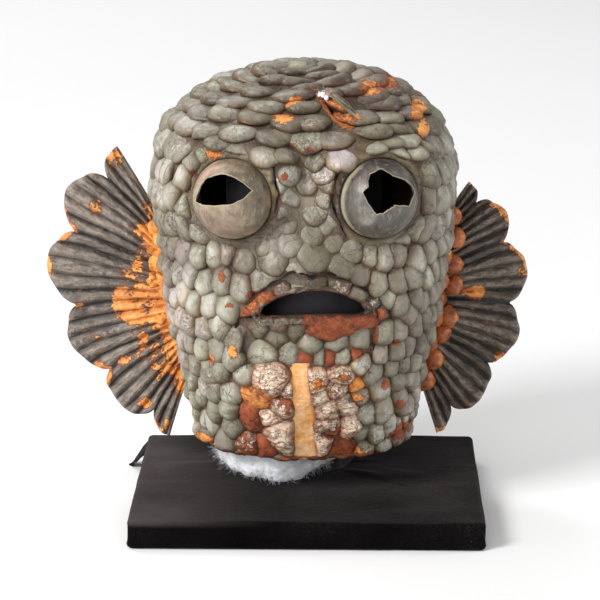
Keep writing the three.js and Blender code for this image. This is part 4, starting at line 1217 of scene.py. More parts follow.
def skin_shell(finish):
    """The mask's wall: the skin between the scales and the plain inside, WALL apart, on one grid of angles
    and lengths. Cells inside an opening are left out, and vertices round it are moved onto its edge by
    steps down the slope of its distance."""
    rows, columns = 130, 256
    angle = np.tile(turns(columns), rows)
    length = np.repeat(np.linspace(6, PROFILE_LENGTH, rows), columns)
    angle, length = np.append(angle, 0), np.append(length, 0)
    faces = bowl_faces(rows, columns)
    point = skin(angle, length)
    cut = [np.min([hole(point[part].mean(axis=1)) for hole in HOLES], axis=0) < 0 for part in faces]
    edge = np.intersect1d(faces[0][cut[0]].ravel(), faces[0][~cut[0]].ravel())
    a, b = angle[edge], length[edge]
    which = np.argmin(np.abs([hole(skin(a, b)) for hole in HOLES]), axis=0)

    def off(p):
        return np.array([hole(p) for hole in HOLES])[which, np.arange(len(edge))]

    for _ in range(4):
        speed = np.maximum(tangents(a, b)[3], 20)
        here = off(skin(a, b))
        du = off(skin(a + 0.5 / speed, b)) - here
        dv = off(skin(a, b + 0.5)) - here
        move = 0.5 * np.clip(here, -5, 5) / np.maximum(du * du + dv * dv, 0.02)
        a, b = a - move * du / speed, b - move * dv
    angle[edge], length[edge] = a, b
    zones = zone_weights(point, angle)
    flush = zones[:, 3] + 0.45 * zones[:, 0]
    brow = smoothstep(46, 34, np.abs(point[:, 0])) * smoothstep(390, 372, point[:, 2]) * (point[:, 2] > 320)
    flush = np.maximum(flush, brow * (point[:, 1] < 0))
    by_eye = smoothstep(EYE_BAND + 6, EYE_BAND, np.minimum(off_eye(point, -1), off_eye(point, 1)))
    rough = 0.8 * noise(point, 9, 2) + by_eye * (0.9 + 0.7 * noise(point, 5, 3))
    outer = skin(angle, length, -1 + rough + 0.5 * flush)
    inner = skin(angle, length, np.full(len(angle), -float(WALL)))
    for side in EYES:
        middle, _, _, sight = EYES[side]
        for surface in (outer, inner):
            radius, ahead = from_eye(surface, side)
            near = (radius < EYE_RADIUS + EYE_FIT) & (np.abs(ahead) < 60)
            spoke = surface[near] - middle
            spoke -= (spoke @ sight)[:, None] * sight
            surface[near] += spoke * ((EYE_RADIUS + EYE_FIT) / radius[near] - 1)[:, None]
    bare, fresh = wear(point)
    rim = smoothstep(80, RIM_HEIGHT, point[:, 2]) * smoothstep(-0.1, 0.4, noise(point, 26, 11))
    # The shell shows in the gaps between the scales, and its low height look has the finish paint shade
    # there: less where it lies flush or round an eye, more by a crack.
    height = 0.3 + 0.4 * np.maximum(flush, by_eye)
    height = height * (1 - smoothstep(3, 0.5, off_cracks(point)))
    return piece("skin_shell", walled(
        outer, inner, faces, cut, height=height, tone=0.3 - darker_paint_and_painted_shade(point), fresh=fresh,
        bare=np.maximum(bare, 0.8 * rim), pale=0 * bare,
    ), finish, "foam_latex", "mask_skin")


def scale_pieces(finish):
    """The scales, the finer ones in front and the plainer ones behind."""
    angle, length = packed_scales(np.random.default_rng(11))
    in_front = np.cos(angle) > -0.05
    by_hand = np.arange(len(angle)) < len(SET_SCALES)
    fine = np.array([0.2, 0.4, 0.58, 0.73, 0.85, 0.93, 0.98, 1.0])
    plain = np.array([0.3, 0.6, 0.82, 0.95, 1.0])
    closest = 1 - (1 - np.linspace(0.06, 1, 20)) ** 1.2
    for name, chosen, around, rings in (
        ("worn_scales", by_hand, 60, closest),
        ("front_scales", in_front & ~by_hand, 26, fine),
        ("back_scales", ~in_front, 16, plain),
    ):
        shape = scale_bodies(angle, length, chosen, around, rings, np.random.default_rng(12))
        piece(name, shape, finish, "foam_latex", "mask_skin")


def outline_gap(points, outline):
    """Signed distance to a closed outline, negative inside, and the outline's nearest point."""
    start = np.array(outline, float)
    end = np.roll(start, -1, axis=0)
    side = end - start
    offset = points[:, None] - start
    share = np.clip(np.sum(offset * side, axis=2) / np.sum(side * side, axis=1), 0, 1)
    nearest = start + share[..., None] * side
    distance = np.linalg.norm(points[:, None] - nearest, axis=2)
    best = np.argmin(distance, axis=1)
    crosses = (start[:, 1] > points[:, None, 1]) != (end[:, 1] > points[:, None, 1])
    rise = np.where(np.abs(side[:, 1]) < 1e-9, 1e-9, side[:, 1])
    at = start[:, 0] + (points[:, None, 1] - start[:, 1]) * side[:, 0] / rise
    inside = np.sum(crosses & (points[:, None, 0] < at), axis=1) % 2 == 1
    here = np.arange(len(points))
    return np.where(inside, -1, 1) * distance[here, best], nearest[here, best]


def eye_dome(side, finish):
    """A thin half sphere with a straight skirt behind it. Cells inside the broken hole are left out, and the
    vertices round it are moved onto the break, which is cut along the line of view."""
    ball_rows, skirt_rows, columns = 56, 5, 132
    rows = ball_rows + skirt_rows
    middle, across, up, sight = EYES[side]
    slope = np.append(np.linspace(0.02, math.pi / 2, ball_rows), np.full(skirt_rows, math.pi / 2))
    back = np.append(np.zeros(ball_rows), np.linspace(0, EYE_SKIRT, skirt_rows + 1)[1:])
    slope = np.append(np.repeat(slope, columns), 0)[:, None]
    back = np.append(np.repeat(back, columns), 0)[:, None]
    around = np.append(np.tile(turns(columns), rows), 0)[:, None]
    direction = np.sin(slope) * (np.cos(around) * across + np.sin(around) * up) + np.cos(slope) * sight

    outline = EYE_RADIUS * np.array(LENS_BREAK if side < 0 else JAGGED_BREAK)
    share = np.arange(0, 1, 0.2)[:, None]
    ragged = np.random.default_rng(5 + side).uniform(-0.45, 0.45, (5 * len(outline), 2))
    sides = zip(outline, np.roll(outline, -1, axis=0))
    outline = np.concatenate([a + share * (b - a) for a, b in sides]) + ragged
    seen = direction @ np.stack([VIEW_ACROSS, VIEW_UP, VIEW_BACK]).T
    gap, nearest = outline_gap(EYE_RADIUS * seen[:, :2], outline)
    gap = np.where(seen[:, 2] > 0, gap, 99)
    faces = bowl_faces(rows, columns)
    cut = [gap[part].mean(axis=1) < 0 for part in faces]
    gone = np.concatenate([part[c].ravel() for part, c in zip(faces, cut)])
    left = np.concatenate([part[~c].ravel() for part, c in zip(faces, cut)])
    edge = np.intersect1d(gone, left)
    walls = []
    for radius in (EYE_RADIUS, EYE_RADIUS - EYE_WALL):
        wall = direction * radius - back * sight
        x, z = nearest[edge].T
        depth = np.sqrt(np.maximum(radius**2 - x * x - z * z, 1))
        wall[edge] = x[:, None] * VIEW_ACROSS + z[:, None] * VIEW_UP + depth[:, None] * VIEW_BACK
        walls.append(wall + middle)
    near_break = np.exp(-np.maximum(gap, 0) / 1.8)
    # A painted highlight round the rim on the side toward the main light, added to the pale band at the break
    toward_light = smoothstep(0.86, 1.0, np.sin(slope[:, 0])) * smoothstep(0.3, -0.7, direction[:, 0])
    rim = smoothstep(0.985, 1.0, np.sin(slope[:, 0]))
    pale_break_and_painted_highlight = np.maximum(near_break, 0.9 * toward_light)
    shape = walled(*walls, faces, cut, edge=pale_break_and_painted_highlight - 1.2 * rim * (1 - near_break))
    name = SIDE_NAMES[side]
    return piece(f"{name}_dome", shape, finish, "horn_plastic", f"{name}_eye_dome")


def carried(path, across, up, radii, columns):
    """An oval section carried along a path: the path, plus the cosine of the turn along across and its sine
    along up, times the two radii."""
    section = turns(columns)
    wide = np.cos(section)[:, None] * across[..., None, :] * radii[0][..., None, None]
    tall = np.sin(section)[:, None] * up[..., None, :] * radii[1][..., None, None]
    return path[..., None, :] + wide + tall


def ring_shape(middle, across, out, radii, columns, *layers):
    """A section carried round a closed path: its points, their outward directions, the heights of the lumps
    there, and its faces."""
    points = carried(middle, across, out, radii, columns)
    outward = unit(points - middle[:, None])
    lump = layered(points, *layers)
    return points, outward, lump, [grid_faces(len(middle) + 1, columns, True) % (len(middle) * columns)]


def lips(finish):
    """The torn edge of the mouth: a lumpy round section carried round the mouth's outline, half sunk in the
    skin, thicker below and thin and crumbling above."""
    rows, columns = 260, 20
    a = turns(rows)
    below = smoothstep(0.1, -0.5, np.sin(a))
    wander = 0.9 * noise(columns_of(np.cos(a), np.sin(a), 0), 0.12, 25)
    x, z = mouth_outline(a, LIP_GROWTH - 1.6 * (1 - below) + wander)
    middle = skin(*face_place(x, z), 0.3 - 0.6 * below)
    along = unit(np.roll(middle, -1, axis=0) - np.roll(middle, 1, axis=0))
    forward = np.broadcast_to([0.0, -1.0, 0.0], along.shape)
    outwards = unit(np.cross(along, forward))
    radius = 2.1 + 2.3 * below
    radii = [radius * 1.1, radius]
    points, ring, lump, faces = ring_shape(
        middle, forward, outwards, radii, columns, (1.5, 8, 21), (1.0, 3.6, 22), (0.5, 1.8, 23)
    )
    points = points + ring * lump[..., None]
    torn = smoothstep(-0.15, 0.3, noise(points, 15, 24)) * (1 - 0.5 * below)[:, None]
    inward = smoothstep(0.2, 0.9, -np.sum(ring * outwards[:, None], axis=-1))
    torn = np.maximum(torn * inward, smoothstep(4, -2, off_patch(points)))
    looks = {
        "height": smoothstep(-1.2, 1.4, lump) * 0.7 + 0.15, "tone": 0 * lump - 0.8, "fresh": 0 * lump + 0.2,
        "bare": np.maximum(wear(points)[0], 0.72 * torn), "pale": 0 * lump + 0.25,
    }
    return piece("lips", (points, faces, looks), finish, "foam_latex", "mask_skin")


def rim_edge(finish):
    """The torn lower edge of the latex: a lumpy oval section carried round the rim over the wall's foot."""
    rows, columns = 420, 14
    angle = turns(rows)
    ragged = noise(columns_of(9 * np.cos(angle), 9 * np.sin(angle), 0), 0.9, 16)
    middle = skin(angle, PROFILE_LENGTH - 1.5 + 1.5 * ragged, -3.5 + 0 * angle)
    along = unit(np.roll(middle, -1, axis=0) - np.roll(middle, 1, axis=0))
    up = np.broadcast_to([0.0, 0.0, 1.0], along.shape)
    radii = [5 + 1.5 * ragged, 3.4 + 1.2 * ragged]
    points, ring, lump, faces = ring_shape(
        middle, unit(np.cross(along, up)), up, radii, columns, (1, 9, 17), (0.7, 4, 18), (0.4, 2, 19)
    )
    points = points + ring * (1.1 * lump)[..., None]
    looks = {
        "height": 0.55 + 0.3 * lump, "tone": 0 * lump - 1, "fresh": 0.25 + 0.5 * noise(points, 30, 20),
        "bare": 0.55 + 0.25 * noise(points, 24, 21), "pale": 0 * lump,
    }
    return piece("rim_edge", (points, faces, looks), finish, "foam_latex", "mask_skin")


def crack_lines(finish):
    """The dark gaps of the cracks: a thin oval section carried down each line, wandering and uneven."""
    t = np.linspace(0, 1, 70)
    paths = []
    for crack in CRACKS:
        x, z = np.array(crack, float).T
        run = np.append(0, np.cumsum(np.hypot(np.diff(x), np.diff(z))))
        paths.append(skin(*face_place(np.interp(t * run[-1], run, x), np.interp(t * run[-1], run, z)), 0.9))
    path = np.stack(paths)
    path += columns_of(1.6 * noise(path, 7, 101), 0, 1.2 * noise(path, 7, 102))
    out = unit(path * [1, 1, 0])
    across = unit(np.cross(np.gradient(path, axis=1), out))
    width = (1.1 + 0.9 * noise(path, 5, 103)) * np.sin(math.pi * t) ** 0.5 + 0.15
    grid = carried(path, across, out, [width, 0.4 + 0.6 * width], 10)
    piece("crack_lines", closed(grid), finish, "foam_latex", "mask_skin")


def lip_patch(finish):
    """The bare rubber of the lower lip: a rounded square swollen by (1 - ring ** 3.4) ** 0.6, with low lumps
    and a ragged edge, on the skin."""
    rows, columns = 40, 150
    ring = np.append(1 - (1 - np.linspace(0.03, 1, rows)) ** 1.4, 1)[:, None]
    c, s = np.cos(turns(columns)), np.sin(turns(columns))
    edge = (c**4 + s**4) ** -0.25 * (0.97 + 0.16 * noise(columns_of(c, s, 0), 0.4, 27))
    x = sum(PATCH_X) / 2 + ((PATCH_X[1] - PATCH_X[0]) / 2 - 0.5) * ring * edge * c
    z = PATCH_HEIGHT[0] + (PATCH_HEIGHT[1] - 0.5) * ring * edge * s
    z -= ring * np.maximum(-s, 0) * patch_hang(x)
    place = face_place(x, z)
    flat = skin(*place)
    swell = (1 - ring**3.4) ** 0.6
    lumps = layered(flat, (2, 15, 28), (1.1, 6, 29), (0.5, 2.5, 30))
    lift = 8.5 * swell - 1.5 + lumps * swell
    lift[-1] = -4
    return piece("lip_patch", closed(
        skin(*place, lift), height=np.clip(0.9 + 0.12 * lumps, 0, 1) * swell**0.5, tone=0, pale=0,
        bare=np.maximum(wear(flat)[0], 0.9 + 0.1 * noise(flat, 12, 31)),
        fresh=0.12 + 0.2 * noise(flat, 14, 32),
    ), finish, "foam_latex", "mask_skin")


def crumbled(centres, sizes, roughness, seed):
    """Balls about centres, pushed in and out by noise, and by how much they are pushed."""
    rows, columns = 10, 16
    slope = np.linspace(0.12, math.pi - 0.12, rows)[:, None]
    around = turns(columns)
    ball = columns_of(np.sin(slope) * np.cos(around), np.sin(slope) * np.sin(around), np.cos(slope))
    centres, ball = centres[:, None, None], sizes[:, None, None, None] * ball
    bump = roughness * layered(centres + ball, (1, 8, seed), (0.8, 4, seed + 1), (0.5, 2, seed + 2))
    return centres + ball * (1 + bump[..., None]), bump


def bare_strip(finish):
    """The strip down the chin that has lost its scales: foam in a slab that follows the skin."""
    rows, columns = 150, 34
    share, across = np.meshgrid(np.linspace(0, 1, rows), np.linspace(-1, 1, columns), indexing="ij")
    z = STRIP_TOP + 3 + (RIM_HEIGHT + 0.5 - STRIP_TOP - 3) * share
    middle = STRIP_X[1] + (STRIP_X[0] - STRIP_X[1]) * share
    half = STRIP_HALF[1] + (STRIP_HALF[0] - STRIP_HALF[1]) * share + 3
    place = face_place(middle + half * across, z)
    flat = skin(*place)
    rough = layered(flat, (0.8, 9, 31), (0.45, 3.4, 32), (0.2, 1.7, 33))
    front = skin(*place, 0.4 + rough - 1.2 * np.abs(across) ** 3)
    back = skin(*place, np.full_like(z, -3.0))
    shape = plate(front, back, height=np.clip(0.6 + 0.3 * rough, 0, 1), edge=np.abs(across))
    return piece("bare_strip", shape, finish, "foam_latex", "mask_skin")


def tear_ribbons(finish):
    """Torn strips of latex lying along the tear: thin oval sections carried along arched paths."""
    random = np.random.default_rng(33)
    count, rows = 9, 30
    t = np.linspace(0, 1, rows)
    start, end = np.array([20, -78, 446.0]), np.array([58, -116, 419.0])
    side = unit(np.cross(end - start, [0, 0, 1.0]))
    shift = random.uniform(-6, 5, count)
    first, last = random.uniform(0, 0.35, count), random.uniform(0.6, 1.0, count)
    share = first[:, None] + (last - first)[:, None] * t
    path = start + share[..., None] * (end - start) + shift[:, None, None] * side
    wave = noise(columns_of(share * 3, shift[:, None] * 5, 0), 1, 34)
    across_head = np.arctan2(path[..., 0], -path[..., 1])
    level = skin(across_head, height_to_length(path[..., 2]))
    arch = 2.2 * np.sin(math.pi * t) * random.uniform(0.3, 1.4, (count, 1))
    path[..., 2] = np.maximum(path[..., 2], level[..., 2]) + 1.5 + arch
    path += side * (2.0 * wave)[..., None]
    twist = random.uniform(0, 3, (count, 1)) + 2.5 * t * random.uniform(-1, 1, (count, 1))
    up = np.array([0.3, -0.5, 0.8])
    across = np.cos(twist)[..., None] * side + np.sin(twist)[..., None] * up
    normal = unit(np.cross(end - start, across))
    taper = np.sqrt(np.maximum(0.02, 1 - np.abs(2 * t - 1) ** 3)) * random.uniform(1.2, 2.4, (count, 1))
    grid = carried(path, across, normal, [taper, 0.55 * np.ones_like(taper)], 10)
    grid += 0.35 * noise(grid, 3, 35)[..., None]
    piece("tear_ribbons", closed(
        grid, height=0.75, tone=random.uniform(-1.2, 0.2, count)[:, None, None], pale=0.1, fresh=0.8,
        bare=smoothstep(0.72, 0.95, share)[..., None] * 0.8,
    ), finish, "foam_latex", "mask_skin")


def fin_middle(q, s, side):
    """A point of a fin's middle surface. q runs from the top ray to the bottom one and s from the root to
    the edge, which falls back in the webs and curls forwards."""
    rays = np.array(RAYS[side], float)
    root_length = height_to_length(FIN_TOP + (FIN_BOTTOM - FIN_TOP) * q)
    root = skin(side * FIN_ROOT_ANGLE + 0 * q, root_length, -FIN_SUNK + 0 * q)
    angle = FIN_ANGLES[0] + (FIN_ANGLES[1] - FIN_ANGLES[0]) * q
    place = q * (len(rays) - 1)
    length = np.interp(place, np.arange(len(rays)), rays)
    web = 1 - np.sqrt(np.abs(np.cos(math.pi * place)))
    reach = length * (1 - WEB_DIP * web) * s
    level = np.cos(angle)
    out = columns_of(side * math.cos(FIN_SWEEP) * level, math.sin(FIN_SWEEP) * level, np.sin(angle))
    point = root + reach[..., None] * out
    point[..., 1] -= FIN_CURL * s**3
    return point


def fin_surfaces(q, s, side):
    """The front and back of a fin: thick at its root, each ray a bundle of cords with deep lines between
    them, and rounded where the two faces meet."""
    place = q * (len(RAYS[side]) - 1)
    middle = fin_middle(q, s, side)
    ray = np.cos(math.pi * place) ** 2
    wave = 0.22 * noise(columns_of(place * 2, s * 3, 0), 1, 41)
    cord = np.abs(np.sin(math.pi * (CORDS * place + 0.5 + wave))) ** 0.75
    slab = FIN_THICKNESS[1] + (FIN_THICKNESS[0] - FIN_THICKNESS[1]) * (1 - s) ** 1.4
    half = slab / 2 + RAY_RISE * ray * (1 - 0.4 * s)
    half += CORD_DEPTH * (cord - 0.75) * smoothstep(0.03, 0.25, s)
    half += layered(middle, (1, 14, 42), (0.6, 5, 43))
    border = np.clip(np.minimum(np.minimum(q, 1 - q) * 42, (1 - s) * 20), 0, 1)
    half = np.maximum(half, 1.2) * np.sqrt(border * (2 - border))
    ragged = noise(columns_of(place * 3, 0, 0), 0.45, 44) * smoothstep(0.8, 1, s)
    middle = middle + 2.2 * ragged[..., None] * unit(middle - fin_middle(q, s * 0.9, side))
    return middle, half, cord, ray


def fin(side, finish):
    """A fin: a closed plate between its two faces, bare at its root, in patches and at its tips."""
    rows, columns = 64, 220
    s, q = np.meshgrid(np.linspace(0, 1, rows), np.linspace(0, 1, columns), indexing="ij")
    middle, half, cord, ray = fin_surfaces(q, s, side)
    front, back = middle.copy(), middle.copy()
    front[..., 1] -= half
    back[..., 1] += half
    spread = 0.2 * noise(middle, 22, 45)
    root = 1 - s * (2.6 if side > 0 else 1.9 - 0.9 * q) + spread
    patches = 0.3 + 0.75 * smoothstep(0.2, 0.7, noise(middle, 24, 46)) - 0.25 * (s < 0.3)
    tip = smoothstep(0.84, 1.0, s) * (0.2 + noise(middle, 20, 47))
    bare = np.maximum(np.maximum(root if side < 0 else root - 0.25, patches * 0.62), tip)
    shape = plate(
        front, back, bare=np.clip(bare, 0, 1), height=np.clip(0.15 + 0.6 * cord + 0.25 * ray, 0, 1),
        across=q * (len(RAYS[side]) - 1), along=s * 0.35,
    )
    name = SIDE_NAMES[side]
    return piece(f"{name}_fan", shape, finish, "fin_latex", f"{name}_fin")


def root_foam(side, finish):
    """Lumps heaped along a fin's root: torn crumbs on the mask's own right, spreading over the fin, and
    larger smooth ones on its left."""
    random = np.random.default_rng(60 + side)
    count = LUMP_COUNTS[side]
    if side > 0:
        q = np.linspace(-0.02, 1.02, count) + random.normal(0, 0.01, count)
        rays = np.array(RAYS[side], float)
        ray_length = np.interp(q * (len(rays) - 1), np.arange(len(rays)), rays)
        s = np.resize(ROOT_LUMPS, count) / ray_length
        centres, half, _, _ = fin_surfaces(np.clip(q, 0.03, 0.97), s, side)
        centres[:, 1] -= half + random.uniform(0, 3, count)
        balls, bump = crumbled(centres, random.uniform(9.5, 12.5, count), 0.13, 62)
        name = "left_root_lumps"
    else:
        q = random.uniform(-0.05, 1.1, count)
        turn = side * (FIN_ROOT_ANGLE - random.uniform(-0.12, 0.15, count))
        level = FIN_TOP + (FIN_BOTTOM - FIN_TOP) * q
        on_head = skin(turn, height_to_length(level), random.uniform(2, 9, count))
        s = random.uniform(0, 0.3, count) ** 1.3
        middle, half, _, _ = fin_surfaces(np.clip(q, 0.03, 0.97), s, side)
        middle[:, 1] -= half - 2
        spread = random.uniform(0, 1, count) < 0.5
        centres = np.where(spread[:, None], middle, on_head)
        balls, bump = crumbled(centres, random.uniform(4.5, 10, count) * np.where(spread, 0.75, 1), 0.3, 63)
        name = "right_root_foam"
    return piece(name, closed(balls, height=np.clip(0.55 + 1.3 * bump, 0, 1)), finish, "fin_latex")


def rounded_rectangle(count, half, corner):
    """Points evenly along a rectangle with quarter-circle corners, and the outward directions there."""
    quarter = np.linspace(0, math.pi / 2, 24)
    turn = np.concatenate([quarter + k * math.pi / 2 for k in range(4)])
    centre = np.repeat([[1, 1], [-1, 1], [-1, -1], [1, -1]], 24, axis=0) * (np.array(half) - corner)
    out = np.stack([np.cos(turn), np.sin(turn)], 1)
    line = np.concatenate([centre + corner * out, (centre + corner * out)[:1]])
    turn = np.append(turn, TURN)
    run = np.append(0, np.cumsum(np.linalg.norm(np.diff(line, axis=0), axis=1)))
    at = np.arange(count) / count * run[-1]
    turn = np.interp(at, run, turn)
    points = np.stack([np.interp(at, run, line[:, k]) for k in range(2)], 1)
    return points, np.stack([np.cos(turn), np.sin(turn)], 1)


def velvet_board(finish):
    """The board in its velvet: the outline scaled from the middle out, rounded over its edge, down its side
    and back under, with wrinkles that run out from the neck and a soft, slightly slack edge."""
    half = (BOARD_HIGH - BOARD_LOW)[:2] / 2 + VELVET
    thick = BOARD_HIGH[2] - BOARD_LOW[2]
    outline, out = rounded_rectangle(420, half, BOARD_CORNER)
    corner = np.linspace(0, math.pi / 2, 7)
    bend_in, bend_down = BOARD_EDGE * (1 - np.sin(corner)), BOARD_EDGE * (1 - np.cos(corner))
    top, under = np.zeros(48), np.zeros(6)
    side = np.linspace(BOARD_EDGE, thick - BOARD_EDGE, 8)[1:-1]
    size = np.concatenate([np.linspace(0.02, 0.955, 48), np.ones(20), np.linspace(0.955, 0.05, 6)])
    inset = np.concatenate([top, bend_in, 0 * side, bend_down, under])
    drop = np.concatenate([top, bend_down, side, thick - bend_in, under + thick])
    flat = size[:, None, None] * outline - inset[:, None, None] * out
    grid = columns_of(flat[..., 0], flat[..., 1], BOARD_HIGH[2] - drop[:, None])
    spoke = grid[..., :2] - np.array([HEAD_SHIFT, HEAD_SETBACK])
    distance = np.linalg.norm(spoke, axis=-1)
    turn = np.arctan2(spoke[..., 1], spoke[..., 0])
    rays = noise(columns_of(np.cos(turn), np.sin(turn), distance / 500), 0.2, 71)
    folds = np.maximum(rays, 0) ** 1.3 * 3.4 * smoothstep(210, 85, distance) * smoothstep(40, 75, distance)
    creases = 1.2 * np.maximum(noise(grid * [0.35, 1, 1], 30, 74), 0) ** 2
    on_top = smoothstep(thick * 0.35, 0, drop)[:, None]
    grid[..., 2] += on_top * (folds + creases + 1.1 * noise(grid, 45, 72) - 1.6)
    on_side = (smoothstep(1, 6, drop) * smoothstep(thick, thick - 5, drop))[:, None]
    slack = 1.2 * smoothstep(thick - 9, thick - 3, drop)[:, None]
    swell = on_side * (1.3 * noise(grid, 34, 73) - 0.6 + slack)
    grid[..., :2] += out * swell[..., None]
    grid[..., 2] = np.maximum(grid[..., 2], 0)
    grid[..., :2] += BOARD_MIDDLE[:2]
    return piece("velvet_cover", closed(grid), finish, "black_velvet", "velvet_board", on_head=False)


def loose_corner(finish):
    """A loose fold of the cover by the back left of the board. It falls away from the edge by
    0.85 * reach + 0.02 * reach ** 2 and is ragged at its free side."""
    rows, columns = 26, 22
    out, along = np.meshgrid(np.linspace(0, 1, rows), np.linspace(0, 1, columns), indexing="ij")
    ragged = noise(columns_of(along * 4, out, 0), 0.7, 76)
    reach = (7 + 15 * np.sin(math.pi * along ** 0.7)) * (1 + 0.25 * ragged) * out
    x = BOARD_LOW[0] + 1.5 - reach
    y = BOARD_HIGH[1] - 12 - 42 * along - 6 * out * ragged
    z = BOARD_TOP - 4 - 0.85 * reach - 0.02 * reach**2 + 1.4 * noise(columns_of(x, y, 0 * x), 8, 77) * out
    front = columns_of(x, y, np.maximum(z, 1.5))
    back = front + [0.9, 0, -0.9]
    return piece("loose_corner", plate(front, back), finish, "black_velvet", on_head=False)


def cloth_form(finish):
    """The black form inside the mask: a smooth curve down its own stations, with upright folds in the cloth
    that gather towards the neck and spread a little over the board."""
    rows, columns = 120, 160
    share = np.linspace(0, 1, rows)
    knots = np.linspace(0, 1, len(FORM_STATIONS))
    kernel = np.hanning(17) / np.hanning(17).sum()
    z, *rest = (np.interp(share, knots, column) for column in FORM_STATIONS.T)
    width, front, back = (np.convolve(np.pad(row, 8, "edge"), kernel, "valid")[:, None] for row in rest)
    z = z[:, None]
    s, c = np.sin(turns(columns)), np.cos(turns(columns))
    grid = columns_of(width * s, -np.where(c > 0, front, back) * c, BOARD_TOP + GAP + z)
    low = smoothstep(150, 10, z)
    folds = noise(columns_of(3 * c, 3 * s, z / 160), 0.5, 81)
    skirt = 7 * smoothstep(26, 0, z)
    push = low * (2.6 * folds - 2.2) + skirt * (0.7 + 0.5 * folds) + 1.6 * noise(grid, 34, 82) - 1.4
    grid += unit(columns_of(s, -c, 0)) * push[..., None]
    return piece("form_cover", closed(grid), finish, "black_cloth", "cloth_form")


def batting_surface(share, section):
    """A fluffy oval section carried round an arc of the neck, tapering to its ends, flat on the board, and
    the direction away from its middle."""
    a = BATTING_ENDS[0] + (BATTING_ENDS[1] - BATTING_ENDS[0]) * share
    swell = np.sqrt(np.maximum(0, 1 - np.abs(2 * share - 1) ** 2.6)) * smoothstep(1.15, 0.6, share)
    out = columns_of(np.sin(a), -np.cos(a), 0)
    floor = BOARD_TOP + GAP
    turned = 1.02 - BATTING_TURN_IN * smoothstep(0.62, 1, share)
    level = floor + BATTING_HALF[1] * np.maximum(swell, 0.85 * smoothstep(0.5, 0.95, share))
    middle = columns_of(BATTING_REACH[0] * np.sin(a), -BATTING_REACH[1] * turned * np.cos(a), level)
    point = middle + out * (BATTING_HALF[0] * swell * np.cos(section))[..., None]
    point[..., 2] += BATTING_HALF[1] * swell * np.sin(section)
    fluff = layered(point, (2.6, 16, 91), (2, 7, 92), (1.4, 3, 93))
    away = unit(point - middle)
    point = point + away * (fluff * (0.3 + 0.7 * swell))[..., None]
    point[..., 2] = np.maximum(point[..., 2], floor)
    return point, away


def fibres(start, away, length, width, random):
    """Thin three-sided strands which leave a surface and wander as they go."""
    count = len(start)
    heading = unit(away + random.normal(0, 0.8, (count, 3)))
    bend = random.normal(0, 0.6, (count, 3))
    t = np.linspace(0, 1, 6)[None, :, None]
    reach = length * random.uniform(0.4, 1.1, (count, 1, 1))
    line = start[:, None] + reach * (t * heading[:, None] + t * t * bend[:, None])
    line[..., 2] = np.maximum(line[..., 2], BOARD_TOP + 0.8)
    side = np.broadcast_to(unit(np.cross(heading, random.normal(0, 1, (count, 3))))[:, None], line.shape)
    other = np.cross(np.broadcast_to(heading[:, None], line.shape), side)
    radius = np.broadcast_to(width * (1 - 0.6 * t[..., 0]), line.shape[:2])
    return carried(line, side, other, [radius, radius], 3)


def neck_batting(finish):
    """The wad of batting, with loose fibres on the part of it that shows."""
    rows, columns = 150, 60
    share, section = np.meshgrid(np.linspace(0.004, 0.996, rows), turns(columns), indexing="ij")
    wad = closed(batting_surface(share, section)[0])
    random = np.random.default_rng(95)
    share, section = random.uniform(0.03, 0.97, WAD_FIBRES), random.uniform(-0.9, 1.3, WAD_FIBRES)
    start, away = batting_surface(share, section)
    strands = closed(fibres(start - 1.5 * away, away, 7, 0.17, random))
    pad = piece("batting", joined(wad, strands), finish, "white_batting", "neck_batting")


def joined(*shapes):
    """Several closed shapes as one."""
    points, faces, start = [], [], 0
    for own_points, own_faces, _ in shapes:
        points.append(own_points.reshape(-1, 3))
        faces += [part + start for part in own_faces]
        start += len(points[-1])
    return np.concatenate(points), faces, {}


def crown_pad(finish):
    """The pad under the crown, a flat round cushion with a lumpy top, and a tuft that comes up in the
    tear."""
    rows, columns = 26, 96
    low, high = (1000 * np.array(corner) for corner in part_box("crown_padding"))
    half = (high - low) / 2
    slope = np.linspace(0.02, math.pi - 0.02, rows)[:, None]
    around = turns(columns)
    flat = np.sin(slope) ** 0.35
    level = np.sign(np.cos(slope)) * np.abs(np.cos(slope)) ** 0.8
    grid = columns_of(
        (half[0] - 1.5) * flat * np.cos(around), (half[1] - 1.5) * flat * np.sin(around),
        (half[2] - 0.6) * level * (1 - 0.35 * flat**6),
    )
    grid[..., 2] -= 0.4 * (1 + noise(grid, 9, 97))
    cushion = closed(grid + (low + high) / 2)
    pad = piece("crown_pad", cushion, finish, "white_batting", "crown_padding", on_head=False)
    random = np.random.default_rng(98)
    balls, _ = crumbled(TUFT, TUFT_SIZES, 0.35, 99)
    away = unit(random.normal(0, 1, (TUFT_FIBRES, 3)) + [0, 0, 0.6])
    start = TUFT[random.integers(0, 3, TUFT_FIBRES)] + 1.5 * away
    strands = fibres(start, away, 4, 0.14, random)
    tuft = piece("tear_tuft", joined(closed(balls), closed(strands)), finish, "white_batting")


# The photograph's viewpoint: its distance before the board's front edge and above its top
VIEW_DISTANCE = 2464
VIEW_HEIGHT = 858.5
VIEW_SIDE = -5.9
VIEW_YAW = math.radians(1.08)
VIEW_PITCH = math.radians(14.3)
VIEW_FOCUS = 2585.6 / 600  # focal length, in frame widths

SKY = 0.36
# The lights: where each stands and what it is aimed at in metres, its size, and its power in watts
LIGHTS = {
    "main": [(-2.54, -2.13, 2.5), (0, 0, 0.25), (1.4, 1.4), 150],
    "side": [(3.9, 0.6, 1.7), (0, 0, 0.25), (0.8, 1.4), 44],
    "front": [(-0.9, -4.0, 1.35), (0, 0, 0.15), (1.4, 0.9), 32],
    "overhead": [(0, -0.6, 5.2), (0, -0.2, 0), (4, 4), 22],
    "behind": [(-2.2, 4.2, 5), (-1.0, 4.4, 0), (3, 3), 160],
}
FLOOR = 25  # half its width, in metres


